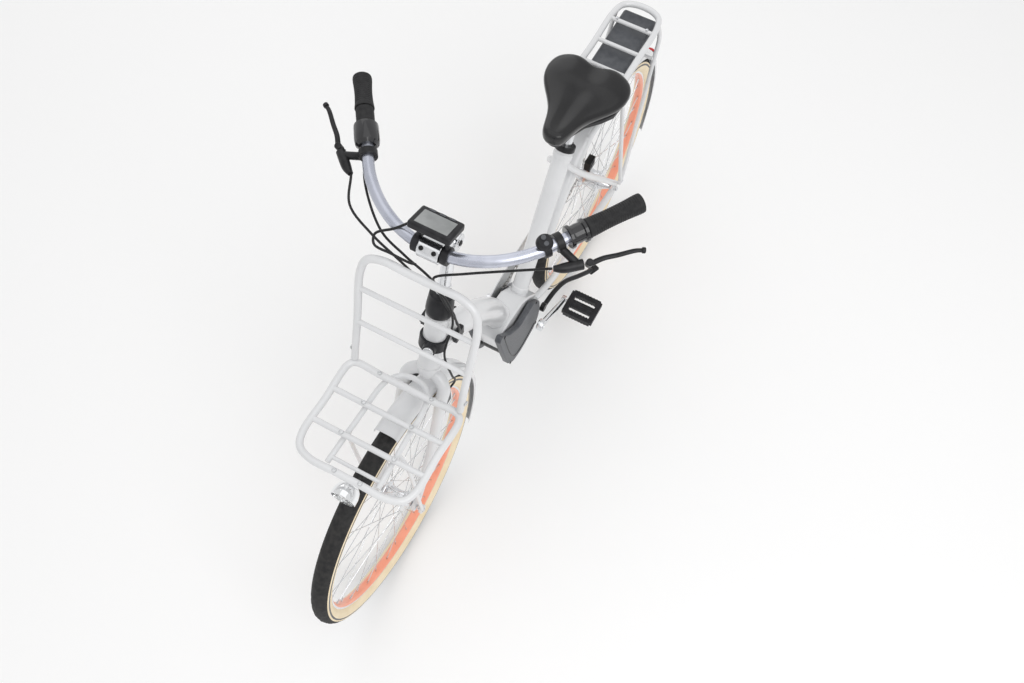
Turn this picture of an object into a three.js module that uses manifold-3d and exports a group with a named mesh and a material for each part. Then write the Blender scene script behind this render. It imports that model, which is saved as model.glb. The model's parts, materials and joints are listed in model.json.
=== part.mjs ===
// Step-through electric city bicycle: 28 inch wheels, swept handlebar, front carrier, rear carrier
// with a sliding battery, mid motor, hub gear and hydraulic rim brakes.
// Millimetres. +X is forwards, +Y is the rider's left, +Z is up, and the ground is z = 0.
import * as THREE from 'three';
import { mergeVertices } from 'three/addons/utils/BufferGeometryUtils.js';
import Module from 'manifold-3d';

const wasm = await Module();
wasm.setup();

// Driving dimensions
const GAP = 0.5;
const WHEEL_RADIUS = 352;
const TYRE_HALF_WIDTH = 23.5;
const RIM_OUTER = 315.5;
const RIM_INNER = 299;
const WHEELBASE = 1110;
const HEAD_ANGLE = 69;
const FORK_OFFSET = 55;
const GUARD_RADIUS = 366;
const GUARD_HALF_WIDTH = 29;
const BAR_RADIUS = 11.5;
const CRANK_LENGTH = 170;
const CRANK_ANGLE = 28;
const BOTTOM_BRACKET = [475, 0, 295];
const RING_PITCH = 77;
const SPROCKET_PITCH = 38.6;
const CHAIN_LINE = -44;
const SEAT_ANGLE = 60.5;
const SEAT_TUBE_MIDDLE = [337.5, 0, 594];
const RACK_HEIGHT = 819;
const RACK_HALF_WIDTH = 58;
const FRONT_RACK_HEIGHT = 771;
const FRONT_RACK_HALF_WIDTH = 133;
const FRONT_RACK_BACK = 1000;
const FRONT_RACK_FRONT = 1228;
const BAR_END = [617, 290, 1127];
const BAR_CENTRE = [862, 0, 1090];
const SADDLE_TOP = 892;
const CENTRE_X = (WHEELBASE + WHEEL_RADIUS - GUARD_RADIUS - 2.92) / 2;

const rad = THREE.MathUtils.degToRad;
const vec = (p) => new THREE.Vector3(...p);
const REAR_AXLE = [0, 0, WHEEL_RADIUS];
const FRONT_AXLE = [WHEELBASE, 0, WHEEL_RADIUS];

// Steering frame: local z runs up the steering axis, local x points forwards, square to it.
const steerUp = vec([-Math.cos(rad(HEAD_ANGLE)), 0, Math.sin(rad(HEAD_ANGLE))]);
const steerForward = vec([Math.sin(rad(HEAD_ANGLE)), 0, Math.cos(rad(HEAD_ANGLE))]);
const steerOrigin = vec(FRONT_AXLE).addScaledVector(steerForward, -FORK_OFFSET);
const steerMatrix = new THREE.Matrix4()
  .makeBasis(steerForward, vec([0, 1, 0]), steerUp)
  .setPosition(steerOrigin);
const onSteer = (x, y, s) => vec([x, y, s]).applyMatrix4(steerMatrix).toArray();

// Seat tube points, by distance along the tube from its middle
const seatUp = vec([-Math.cos(rad(SEAT_ANGLE)), 0, Math.sin(rad(SEAT_ANGLE))]);
const onSeatTube = (t) => vec(SEAT_TUBE_MIDDLE).addScaledVector(seatUp, t).toArray();

// --- solids -------------------------------------------------------------------------------------

function toSolid(geometry) {
  const bare = geometry.clone();
  bare.deleteAttribute('normal');
  bare.deleteAttribute('uv');
  const merged = mergeVertices(bare, 1e-3);
  const position = merged.attributes.position;
  let tris = [];
  for (let i = 0; i < merged.index.count; i += 3) {
    const [a, b, c] = [0, 1, 2].map((k) => merged.index.getX(i + k));
    if (a !== b && b !== c && c !== a) tris.push([a, b, c]);
  }
  const at = (i) => new THREE.Vector3().fromBufferAttribute(position, i);
  const volume = tris.reduce((sum, t) => sum + at(t[0]).dot(at(t[1]).cross(at(t[2]))), 0);
  if (volume < 0) tris = tris.map((t) => [t[0], t[2], t[1]]);
  const mesh = new wasm.Mesh({
    numProp: 3,
    vertProperties: new Float32Array(position.array),
    triVerts: new Uint32Array(tris.flat()),
  });
  return new wasm.Manifold(mesh);
}

function toGeometry(manifold) {
  const mesh = manifold.getMesh();
  const geometry = new THREE.BufferGeometry();
  geometry.setAttribute('position', new THREE.BufferAttribute(mesh.vertProperties, 3));
  geometry.setIndex(new THREE.BufferAttribute(mesh.triVerts, 1));
  return geometry;
}

const join = (...pieces) =>
  toGeometry(pieces.map(toSolid).reduce((sum, piece) => sum.add(piece)));
const cut = (body, ...tools) =>
  toGeometry(tools.map(toSolid).reduce((rest, tool) => rest.subtract(tool), toSolid(body)));

// --- basic shapes -------------------------------------------------------------------------------

const polygon = (points) => new THREE.Shape(points.map(([x, y]) => new THREE.Vector2(x, y)));

function section(sides, halfWidth, halfHeight = halfWidth) {
  const corners = Array.from({ length: sides }, (_, i) => {
    const angle = ((i + 0.5) / sides) * 2 * Math.PI;
    return [halfWidth * Math.cos(angle), halfHeight * Math.sin(angle)];
  });
  return polygon(corners);
}

function sweep(points, shape, steps, closed = false) {
  const path = new THREE.CatmullRomCurve3(points.map(vec), closed, 'centripetal');
  return new THREE.ExtrudeGeometry(shape, { steps, extrudePath: path, bevelEnabled: false });
}

const tube = (points, radius, steps = 12, sides = 8) => sweep(points, section(sides, radius), steps);

// Straight round bar from a to b, with its own radius at each end
function rod(a, b, radius, endRadius = radius, sides = 12) {
  const from = vec(a);
  const along = vec(b).sub(from);
  const geometry = new THREE.CylinderGeometry(endRadius, radius, along.length(), sides);
  geometry.translate(0, along.length() / 2, 0);
  const turn = new THREE.Quaternion().setFromUnitVectors(vec([0, 1, 0]), along.clone().normalize());
  return geometry.applyQuaternion(turn).translate(...a);
}

// Turned piece: profile points are [radius, distance along the axis]
function turned(profile, origin, axis, sides = 16) {
  const points = profile.map(([r, d]) => new THREE.Vector2(r, d));
  const geometry = new THREE.LatheGeometry(points, sides);
  const turn = new THREE.Quaternion().setFromUnitVectors(vec([0, 1, 0]), vec(axis).normalize());
  return geometry.applyQuaternion(turn).translate(...origin);
}

const block = (size, centre) => new THREE.BoxGeometry(...size).translate(...centre);

// Plate whose outline is drawn in x and z, between two values of y
function plateXZ(outline, yLow, yHigh, options = {}) {
  const shape = outline instanceof THREE.Shape ? outline : polygon(outline);
  const geometry = new THREE.ExtrudeGeometry(shape, {
    depth: yHigh - yLow, bevelEnabled: false, curveSegments: 8, ...options,
  });
  return geometry.rotateX(Math.PI / 2).translate(0, yHigh, 0);
}

class WheelArc extends THREE.Curve {
  constructor(centre, radius, from, to) {
    super();
    Object.assign(this, { centre, radius, from, to });
  }

  getPoint(t) {
    const angle = rad(this.from + (this.to - this.from) * t);
    const [x, y, z] = this.centre;
    return vec([x + this.radius * Math.cos(angle), y, z + this.radius * Math.sin(angle)]);
  }
}

// --- materials and nodes ------------------------------------------------------------------------

const finish = (color, roughness, metalness) =>
  new THREE.MeshStandardMaterial({ color, roughness, metalness });
const white = finish(0xf2f2f0, 0.35, 0.1);
const black = finish(0x17171a, 0.45, 0.1);
const rubber = finish(0x1c1c1e, 0.8, 0);
const silver = finish(0xc9ccd2, 0.3, 0.9);
const slate = finish(0x4a4c52, 0.5, 0.2);
const coral = finish(0xf2a184, 0.4, 0.2);
const clear = finish(0xe6eef2, 0.1, 0.1);
const red = finish(0xa01818, 0.3, 0);

const bicycle = new THREE.Group();
bicycle.position.set(-CENTRE_X, 0, 0);

function add(name, geometry, material, parent = bicycle) {
  const mesh = new THREE.Mesh(toGeometry(toSolid(geometry)), material);
  mesh.name = name;
  parent.add(mesh);
}

function groupAt(position) {
  const group = new THREE.Group();
  group.position.set(...position);
  bicycle.add(group);
  return group;
}

// --- wheels -------------------------------------------------------------------------------------

const TYRE_PROFILE = [
  [316, -11], [316, 11], [327, 21], [339, TYRE_HALF_WIDTH], [348, 16.5], [WHEEL_RADIUS, 5],
  [WHEEL_RADIUS, -5], [348, -16.5], [339, -TYRE_HALF_WIDTH], [327, -21], [316, -11],
];
const RIM_PROFILE = [
  [RIM_INNER, -5], [304, -12], [RIM_OUTER, -12.5], [RIM_OUTER, 12.5], [304, 12], [RIM_INNER, 5],
  [RIM_INNER, -5],
];

function spokedHub(hubProfile, flangeRadius, flangeY) {
  const parts = [turned(hubProfile, [0, 0, 0], [0, 1, 0], 20)];
  const count = 12;
  for (let i = 0; i < count; i += 1) {
    const side = i % 2 ? 1 : -1;
    const lean = Math.floor(i / 2) % 2 ? 62 : -62;
    const rimAngle = rad((i * 360) / count);
    const hubAngle = rimAngle + rad(lean);
    const startY = side * (flangeY + Math.sign(lean) * 1.6);
    const start = [flangeRadius * Math.cos(hubAngle), startY, flangeRadius * Math.sin(hubAngle)];
    const end = [(RIM_INNER - 3) * Math.cos(rimAngle), side * 2, (RIM_INNER - 3) * Math.sin(rimAngle)];
    parts.push(rod(start, end, 1.2, 1.2, 3));
  }
  return join(...parts);
}

function addWheel(prefix, axle, hub) {
  const wheel = groupAt(axle);
  add(`${prefix}_tyre`, turned(TYRE_PROFILE, [0, 0, 0], [0, 1, 0], 36), rubber, wheel);
  add(`${prefix}_rim`, turned(RIM_PROFILE, [0, 0, 0], [0, 1, 0], 36), coral, wheel);
  add(`${prefix}_hub_spokes`, hub, silver, wheel);
}

const frontHubProfile = [
  [0, -46], [7, -46], [10, -34], [22, -33], [22, -29], [13, -26],
  [13, 26], [22, 29], [22, 33], [10, 34], [7, 46], [0, 46],
];
const rearHubProfile = [
  [0, -65], [8, -65], [8, -50], [14, -50], [14, -36], [30, -35], [40, -31], [40, -26], [33, -24],
  [33, 24], [40, 26], [40, 31], [28, 36], [12, 50], [8, 65], [0, 65],
];
addWheel('front', FRONT_AXLE, spokedHub(frontHubProfile, 20, 31));
addWheel('rear', REAR_AXLE, spokedHub(rearHubProfile, 37.5, 28.5));

// --- frame --------------------------------------------------------------------------------------

const HEAD_TUBE = [412, 566];
const headTube = rod(onSteer(0, 0, HEAD_TUBE[0]), onSteer(0, 0, HEAD_TUBE[1]), 25, 25, 12);
const headBore = rod(onSteer(0, 0, 400), onSteer(0, 0, 580), 17.5, 17.5, 12);
const downTube = sweep(
  [onSteer(-6, 0, 489), [800, 0, 724], [700, 0, 628], [615, 0, 505], [565, 0, 395]],
  section(12, 27, 36), 10,
);
const SEAT_TUBE_TOP = 162;
const seatTube = rod(onSeatTube(-270), onSeatTube(SEAT_TUBE_TOP), 23, 22, 12);
const seatBore = rod(onSeatTube(-60), onSeatTube(SEAT_TUBE_TOP + 5), 14.3, 14.3, 12);
const MOTOR_OUTLINE = [
  [430, 268], [446, 248], [475, 240], [530, 232], [575, 244], [604, 280], [602, 322], [572, 352],
  [520, 352], [470, 338], [436, 318],
];
const bracket = plateXZ([
  [412, 272], [412, 330], [452, 372], [500, 415], [580, 432], [640, 420], [625, 350], [600, 300],
  [560, 300], [470, 300], [450, 262],
], -34, 34);
const motorPocket = plateXZ(grown(MOTOR_OUTLINE, 0.7), -60, 60);

function grown(outline, margin) {
  const mean = (axis) => outline.reduce((sum, p) => sum + p[axis], 0) / outline.length;
  const centre = [mean(0), mean(1)];
  return outline.map(([x, z]) => {
    const away = new THREE.Vector2(x - centre[0], z - centre[1]);
    const scale = 1 + (margin * 1.3) / away.length();
    return [centre[0] + away.x * scale, centre[1] + away.y * scale];
  });
}

const frameRaw = join(headTube, downTube, seatTube, bracket);
add('main_frame', cut(frameRaw, headBore, seatBore, motorPocket), white);

const spindleBore = rod([BOTTOM_BRACKET[0], -80, BOTTOM_BRACKET[2]],
  [BOTTOM_BRACKET[0], 80, BOTTOM_BRACKET[2]], 11, 11, 12);
add('motor_housing', cut(plateXZ(MOTOR_OUTLINE, -38, 38), spindleBore), slate);

const COVER_OUTLINE = [
  [430, 300], [434, 262], [456, 232], [530, 222], [584, 234], [618, 276], [640, 352], [676, 486],
  [662, 500], [618, 440], [560, 392], [478, 392], [438, 350],
];
const coverHole = rod([BOTTOM_BRACKET[0], -80, BOTTOM_BRACKET[2]],
  [BOTTOM_BRACKET[0], 80, BOTTOM_BRACKET[2]], 17, 17, 12);
add('motor_cover_left', cut(plateXZ(COVER_OUTLINE, 38.5, 56), coverHole), slate);
add('motor_cover_right', cut(plateXZ(COVER_OUTLINE, -40, -38.5), coverHole), slate);

function dropout(side) {
  const plate = rod([0, side * 67.5, WHEEL_RADIUS], [0, side * 74, WHEEL_RADIUS], 21, 21, 12);
  const nut = rod([0, side * 74, WHEEL_RADIUS], [0, side * 84, WHEEL_RADIUS], 8.5, 8, 6);
  return join(plate, nut);
}

for (const [name, side] of [['left', 1], ['right', -1]]) {
  const chainstayPath = [
    [408, side * 30, 300], [352, side * 42.5, 308], [180, side * 58, 330], [12, side * 70.5, 350],
  ];
  const stayPieces = [tube(chainstayPath, 9.5, 8), dropout(side)];
  if (side > 0) stayPieces.push(block([34, 16, 34], [394, side * 40, 277]));
  add(`${name}_chainstay`, join(...stayPieces), white);

  const seatstayPath = [
    [277, side * 14, 712], [262, side * 31, 688], [226, side * 42, 640], [0, side * 70.5, 372],
  ];
  const seatClear = rod(onSeatTube(0), onSeatTube(200), 23 + GAP, 23 + GAP, 12);
  const dropClear = rod([0, side * 60, WHEEL_RADIUS], [0, side * 90, WHEEL_RADIUS], 21.6, 21.6, 12);
  add(`${name}_seatstay`, cut(tube(seatstayPath, 8.5, 12), seatClear, dropClear), white);
}

add('seat_clamp', turned([[14.4, 0], [25, 0], [25, 14], [14.4, 14], [14.4, 0]],
  onSeatTube(SEAT_TUBE_TOP + GAP), seatUp.toArray()), black);
add('cable_port', block([34, 12, 30], [838, 33.6, 776]), black);

// --- drive --------------------------------------------------------------------------------------

// Belt outline round the two chain wheels, at a distance from the pitch line
function beltPoints(offset) {
  const [bx, , bz] = BOTTOM_BRACKET;
  const along = Math.atan2(bz - WHEEL_RADIUS, bx);
  const spread = Math.acos((RING_PITCH - SPROCKET_PITCH) / Math.hypot(bx, bz - WHEEL_RADIUS));
  const points = [];
  const arc = (cx, cz, radius, from, to, count) => {
    for (let i = 0; i <= count; i += 1) {
      const angle = from + ((to - from) * i) / count;
      points.push([cx + radius * Math.cos(angle), cz + radius * Math.sin(angle)]);
    }
  };
  arc(bx, bz, RING_PITCH + offset, along - Math.PI + spread, along + Math.PI - spread, 12);
  arc(0, WHEEL_RADIUS, SPROCKET_PITCH + offset, along + Math.PI - spread, along + Math.PI + spread, 9);
  return points;
}

const chainShape = polygon(beltPoints(4));
chainShape.holes.push(new THREE.Path(beltPoints(-4).map(([x, z]) => new THREE.Vector2(x, z))));
add('chain', plateXZ(chainShape, CHAIN_LINE - 3.5, CHAIN_LINE + 3.5), silver);

const guardShape = polygon([
  [575, 262], [583, 300], [572, 345], [540, 388], [490, 408], [430, 411], [95, 412], [78, 404],
  [80, 372], [380, 352], [398, 300], [420, 258], [475, 236], [530, 240],
]);
const guardHole = rod([BOTTOM_BRACKET[0], -80, BOTTOM_BRACKET[2]],
  [BOTTOM_BRACKET[0], 0, BOTTOM_BRACKET[2]], 26, 26, 12);
add('chain_guard', cut(plateXZ(guardShape, -57, -54), guardHole), white);

const crankFoot = (side) => [
  BOTTOM_BRACKET[0] - side * CRANK_LENGTH * Math.cos(rad(CRANK_ANGLE)),
  0,
  BOTTOM_BRACKET[2] - side * CRANK_LENGTH * Math.sin(rad(CRANK_ANGLE)),
];

for (const [name, side] of [['left', 1], ['right', -1]]) {
  const [fx, , fz] = crankFoot(side);
  const [bx, , bz] = BOTTOM_BRACKET;
  const arm = sweep([[bx, side * 83, bz], [fx, side * 87, fz]], section(8, 6, 11), 1);
  const boss = rod([bx, side * 74, bz], [bx, side * 91, bz], 17, 16, 12);
  const eye = rod([fx, side * 80, fz], [fx, side * 94, fz], 13, 12, 12);
  if (side > 0) {
    const spindle = rod([bx, -73, bz], [bx, 80, bz], 10, 10, 12);
    add('crank_left', join(arm, boss, eye, spindle), silver);
  } else {
    const ring = rod([bx, -46, bz], [bx, -42, bz], 71, 71, 28);
    const sleeve = rod([bx, -80, bz], [bx, -42, bz], 16, 16, 12);
    const bore = rod([bx, -73.5, bz], [bx, -30, bz], 10.6, 10.6, 12);
    add('crank_right', cut(join(arm, boss, eye, ring, sleeve), bore), silver);
  }
  const pedal = join(
    rod([fx, side * 94.5, fz], [fx, side * 192, fz], 8, 8, 12),
    block([86, 8, 20], [fx, side * 106, fz]),
    block([86, 8, 20], [fx, side * 148, fz]),
    block([82, 10, 20], [fx, side * 191, fz]),
    block([9, 92, 20], [fx + 40, side * 148, fz]),
    block([9, 92, 20], [fx - 40, side * 148, fz]),
  );
  add(`pedal_${name}`, pedal, black);
}

// --- kickstand ----------------------------------------------------------------------------------

const STAND_PIVOT = [405, 0, 266];
const stand = join(
  rod([STAND_PIVOT[0], 48.6, STAND_PIVOT[2]], [STAND_PIVOT[0], 62, STAND_PIVOT[2]], 13, 13, 16),
  tube([[400, 55, 265], [330, 59, 254], [285, 68, 243], [235, 90, 221], [182, 110, 195]], 7, 10, 8),
  block([34, 22, 12], [176, 112, 193]),
);
add('kickstand', stand, black);

// --- mudguards ----------------------------------------------------------------------------------

function mudguard(centre, from, to, steps) {
  const w = GUARD_HALF_WIDTH;
  const shape = polygon([
    [-w, -15], [-w + 4, -4], [-10, 3], [10, 3], [w - 4, -4], [w, -15], [w - 2, -15],
    [w - 6, -5.4], [9, 1], [-9, 1], [6 - w, -5.4], [2 - w, -15],
  ]);
  const extrudePath = new WheelArc(centre, GUARD_RADIUS, from, to);
  return new THREE.ExtrudeGeometry(shape, { steps, extrudePath, bevelEnabled: false });
}

add('rear_mudguard', mudguard(REAR_AXLE, 24, 199.5, 18), white);

// --- rear carrier, battery and tail lamp --------------------------------------------------------

const rackPieces = [
  tube([
    [205, 40, 745], [160, 56, 800], [120, RACK_HALF_WIDTH, RACK_HEIGHT],
    [-110, RACK_HALF_WIDTH, RACK_HEIGHT], [-145, 48, RACK_HEIGHT], [-160, 22, RACK_HEIGHT],
    [-160, -22, RACK_HEIGHT], [-145, -48, RACK_HEIGHT], [-110, -RACK_HALF_WIDTH, RACK_HEIGHT],
    [120, -RACK_HALF_WIDTH, RACK_HEIGHT], [160, -56, 800], [205, -40, 745],
  ], 7.5, 20, 6),
  ...[132, 62, -14, -92].map((x) =>
    rod([x, -RACK_HALF_WIDTH, RACK_HEIGHT], [x, RACK_HALF_WIDTH, RACK_HEIGHT], 5, 5, 4)),
  ...[1, -1].flatMap((side) => [
    tube([[78, side * 60, 817], [62, side * 64, 730], [14, side * 84, 440], [2, side * 86, 396]], 5.5, 4, 5),
    tube([[-128, side * 56, 818], [-136, side * 64, 776], [-120, side * 67, 720], [-20, side * 84, 430],
      [-3, side * 86, 396]], 5.5, 6, 5),
    rod([0, side * 80.5, 392], [0, side * 90, 392], 12, 12, 10),
    rod([-112, side * 40, 733], [150, side * 40, 733], 3.5, 3.5, 4),
  ]),
  ...[-112, 64].map((x) => rod([x, -66, 731], [x, 66, 731], 4, 4, 4)),
];
add('rear_rack', join(...rackPieces), white);

add('battery', block([320, 92, 66], [0, 0, 771]), slate);
const onRearArc = (radius, angle, y = 0) => [
  radius * Math.cos(rad(angle)), y, WHEEL_RADIUS + radius * Math.sin(rad(angle)),
];
add('tail_lamp', rod(onRearArc(370, 150), onRearArc(388, 150), 18, 15), red);
for (const [name, side] of [['left', 1], ['right', -1]]) {
  add(`rear_brake_${name}`, rod([160, side * 26, 606], [160, side * 48, 606], 16, 14, 12), black);
}

// --- saddle -------------------------------------------------------------------------------------

const SADDLE_HALF = [
  [356, 0], [351, 12], [335, 20], [300, 27], [262, 45], [226, 76], [195, 94], [160, 97], [132, 84],
  [124, 60], [129, 30], [134, 0],
];

function saddleSlab(scale, low, depth, bevel) {
  const half = SADDLE_HALF.map(([x, y]) => [240 + (x - 240) * scale, y * scale]);
  const mirrored = half.slice(1, -1).reverse().map(([x, y]) => [x, -y]);
  const geometry = new THREE.ExtrudeGeometry(polygon([...half, ...mirrored]), {
    depth: depth - 2 * bevel, bevelEnabled: bevel > 0, bevelThickness: bevel, bevelSize: bevel,
    bevelSegments: 2,
  });
  return geometry.translate(0, 0, low + bevel);
}

const railPath = (side) => [
  [150, side * 22, 829], [176, side * 22, 819], [262, side * 22, 819], [320, side * 13, 829],
];
add('saddle_cushion', saddleSlab(1, SADDLE_TOP - 52, 52, 12), rubber);
add('saddle_base', join(
  saddleSlab(0.86, SADDLE_TOP - 65, 12, 0),
  ...[1, -1].map((side) => tube(railPath(side), 3.5, 10, 8)),
), black);
add('seatpost', join(
  rod(onSeatTube(-40), onSeatTube(238), 13.6, 13.6, 16),
  block([46, 54, 8], [222, 0, 807.5]),
), silver);

// --- fork, stem and handlebar -------------------------------------------------------------------

const steerBlock = (size, centre) => block(size, centre).applyMatrix4(steerMatrix);
const forkPieces = [
  rod(onSteer(0, 0, 384), onSteer(0, 0, 565.5), 14, 14),
  rod(onSteer(0, 0, 396), onSteer(0, 0, 411.5), 23, 23, 20),
  tube([[10, -48, 344], [4, -46, 374], [0, -26, 394], [0, 26, 394], [4, 46, 374], [10, 48, 344]]
    .map((p) => onSteer(...p)), 14.5, 9, 8),
];
for (const side of [1, -1]) {
  forkPieces.push(rod(onSteer(9, side * 47.7, 352), onSteer(53, side * 56, 12), 14.5, 8.5, 12));
  forkPieces.push(rod([WHEELBASE, side * 49, WHEEL_RADIUS], [WHEELBASE, side * 59, WHEEL_RADIUS], 15));
  forkPieces.push(rod([WHEELBASE, side * 59, WHEEL_RADIUS], [WHEELBASE, side * 68, WHEEL_RADIUS], 8.5, 8, 6));
}
add('fork', join(...forkPieces), white);

const aboutSteer = (profile, sides) => turned(profile, steerOrigin.toArray(), steerUp.toArray(), sides);
add('headset_cover', aboutSteer([
  [14.7, 567], [27, 567], [29, 577], [26, 618], [20, 622], [14.7, 622], [14.7, 567],
], 12), black);
add('head_clamp', join(
  cut(
    aboutSteer([[25.5, 478], [31, 478], [31, 506], [25.5, 506], [25.5, 478]], 24),
    steerBlock([60, 80, 60], [-32, 0, 492]),
  ),
  rod(onSteer(27, 6, 492), onSteer(44, 10, 494), 15, 14, 18),
), black);
add('stem', cut(
  join(
    rod(onSteer(0, 0, 566.5), onSteer(0, 0, 744), 13, 13),
    rod(onSteer(0, -17, 750), onSteer(0, 17, 750), 18, 18, 20),
    rod(onSteer(0, 0, 750), BAR_CENTRE, 14, 13),
    rod([BAR_CENTRE[0], -22, BAR_CENTRE[2]], [BAR_CENTRE[0], 22, BAR_CENTRE[2]], 20, 20, 20),
  ),
  rod([BAR_CENTRE[0] - 0.5, -40, BAR_CENTRE[2]], [BAR_CENTRE[0] - 0.5, 40, BAR_CENTRE[2]], 13.6, 13.6, 20),
), silver);

// Axes of one end of the bar: u runs from the bar end to the middle, v points away from the rider,
// and w points up, square to both.
function barAxes(side) {
  const origin = vec([BAR_END[0], side * BAR_END[1], BAR_END[2]]);
  const u = vec([0.8217, side * -0.57, -0.09]).normalize();
  const v = vec([0.57, side * 0.8217, -0.35]);
  v.addScaledVector(u, -v.dot(u)).normalize();
  const w = u.clone().cross(v).multiplyScalar(side);
  const at = (du, dv = 0, dw = 0) =>
    origin.clone().addScaledVector(u, du).addScaledVector(v, dv).addScaledVector(w, dw).toArray();
  return { at, u: u.toArray() };
}

const BAR_BEND = [[822, 132, 1102], [846, 88, 1096], [858, 45, 1091.5]];
const leftBar = barAxes(1);
const rightBar = barAxes(-1);
const barPath = [
  ...[0, 70, 140, 205].map((d) => leftBar.at(d)),
  ...BAR_BEND,
  BAR_CENTRE,
  ...BAR_BEND.slice().reverse().map(([x, y, z]) => [x, -y, z]),
  ...[205, 140, 70, 0].map((d) => rightBar.at(d)),
];
add('handlebar', tube(barPath, BAR_RADIUS, 28, 8), silver);

const onBar = (bar, profile, sides = 12) => turned(profile, bar.at(0), bar.u, sides);
add('grip_left', onBar(leftBar, [
  [0, -5], [15, -5], [18, 0], [18.5, 24], [16.5, 60], [17, 96], [19, 108], [12, 108], [12, -1], [0, -1],
]), rubber);
add('grip_right', onBar(rightBar, [
  [0, -5], [15, -5], [18, 0], [18.5, 20], [16.5, 44], [17.5, 66], [12, 66], [12, -1], [0, -1],
]), rubber);
add('bell_ring', onBar(leftBar, [
  [12, 109], [20, 109], [22, 118], [20, 142], [15, 146], [12, 146], [12, 109],
]), black);
add('shift_sleeve', onBar(rightBar, [[12, 67], [17.5, 67], [17.5, 101], [12, 101], [12, 67]]), rubber);
add('shifter_housing', onBar(rightBar, [
  [12, 102], [19, 102], [24, 112], [24, 134], [17, 148], [12, 148], [12, 102],
]), black);

for (const [name, bar] of [['left', leftBar], ['right', rightBar]]) {
  const ring = onBar(bar, [[12.9, 157], [18, 157], [18, 171], [12.9, 171], [12.9, 157]]);
  const arm = rod(bar.at(164, 20), bar.at(152, 46), 7, 8, 12);
  const cylinder = rod(bar.at(194, 38), bar.at(142, 54), 5, 10, 12);
  add(`brake_body_${name}`, join(ring, arm, cylinder), black);
  const bladePath = [[128, 59], [104, 60], [78, 66], [44, 73], [30, 79]].map((p) => bar.at(...p));
  const pivot = rod(bar.at(131, 57, -8), bar.at(131, 57, 8), 7, 7, 12);
  add(`brake_lever_${name}`, join(pivot, sweep(bladePath, section(8, 5, 4), 8)), black);
}

add('remote_control', join(
  onBar(leftBar, [[13, 184], [17, 184], [17, 197], [13, 197], [13, 184]]),
  rod(leftBar.at(192, -6, 15), leftBar.at(192, -8, 28), 16, 14, 16),
), black);

const displayBody = block([58, 86, 15], [0, 0, 0]).rotateY(rad(-18)).translate(842, 0, 1138);
const displayRings = [1, -1].flatMap((side) => [
  turned([[13.4, -4], [18, -4], [18, 4], [13.4, 4], [13.4, -4]], [860, side * 30, 1090.5], [0, 1, 0]),
  rod([857, side * 30, 1106], [846, side * 26, 1134], 4.5, 4.5, 8),
]);
add('display', join(displayBody, ...displayRings), black);

// --- front carrier, lamp and mudguard -----------------------------------------------------------

const mirroredLoop = (half) => [...half, ...half.slice().reverse().map(([x, y, z]) => [x, -y, z])];
const platformLoop = mirroredLoop([
  [FRONT_RACK_BACK, 60, 0], [FRONT_RACK_BACK, 122, 0], [FRONT_RACK_BACK + 12, FRONT_RACK_HALF_WIDTH, 0],
  [1100, FRONT_RACK_HALF_WIDTH, 0], [1188, FRONT_RACK_HALF_WIDTH, 0], [1216, 120, 0],
  [FRONT_RACK_FRONT, 90, 0], [FRONT_RACK_FRONT, 30, 0],
].map(([x, y]) => [x, y, FRONT_RACK_HEIGHT]));
add('front_rack_platform', join(
  sweep(platformLoop, section(8, 8), 32, true),
  ...[1073, 1151].map((x) =>
    rod([x, -FRONT_RACK_HALF_WIDTH, FRONT_RACK_HEIGHT],
      [x, FRONT_RACK_HALF_WIDTH, FRONT_RACK_HEIGHT], 6.5, 6.5, 6)),
), white);

const backLoop = mirroredLoop([
  [995, 126, 781], [958, 126, 890], [920, 126, 1005], [909, 114, 1037], [904, 84, 1050], [904, 30, 1050],
]);
add('front_rack_back', join(
  tube(backLoop, 8, 22, 8),
  ...[[962, 885], [933, 966]].map(([x, z]) => rod([x, -126, z], [x, 126, z], 5.5, 5.5, 6)),
), white);

const supportArch = mirroredLoop([
  [1214, 60, 755], [1100, 56, 755], [1005, 50, 755], [974, 30, 753], [966, 8, 751],
]);
add('rack_support', join(
  tube(supportArch, 6, 18, 6),
  ...[1, -1].flatMap((side) => [
    tube([[1130, side * 57, 754], [1128, side * 70, 700], [1112, side * 75, 358]], 5, 6, 6),
    rod([WHEELBASE, side * 69.5, WHEEL_RADIUS], [WHEELBASE, side * 78, WHEEL_RADIUS], 12, 12, 12),
  ]),
  rod([1200, -60, 755], [1200, 60, 755], 4.5, 4.5, 6),
), white);

const LAMP_CENTRE = [1244, 0, 723];
add('headlamp', join(
  turned([[0, -24], [12, -22], [23, -8], [29, 10], [29, 17], [26, 17], [26, 10], [21, -5], [0, -16]],
    LAMP_CENTRE, [1, 0, 0], 20),
  rod([1240, 0, 745], [1236, 0, 758], 5, 5, 8),
), silver);
const lensProfile = [[0, 11], [25.5, 11], [25.5, 16], [15, 20], [0, 21.5]];
add('headlamp_lens', turned(lensProfile, LAMP_CENTRE, [1, 0, 0], 12), clear);
add('front_mudguard', mudguard(FRONT_AXLE, 92.5, 206, 12), white);

for (const [name, side] of [['left', 1], ['right', -1]]) {
  add(`front_brake_${name}`, steerBlock([38, 22, 40], [-26, side * 38, 305]), black);
}

// --- hoses and cables ---------------------------------------------------------------------------

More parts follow.
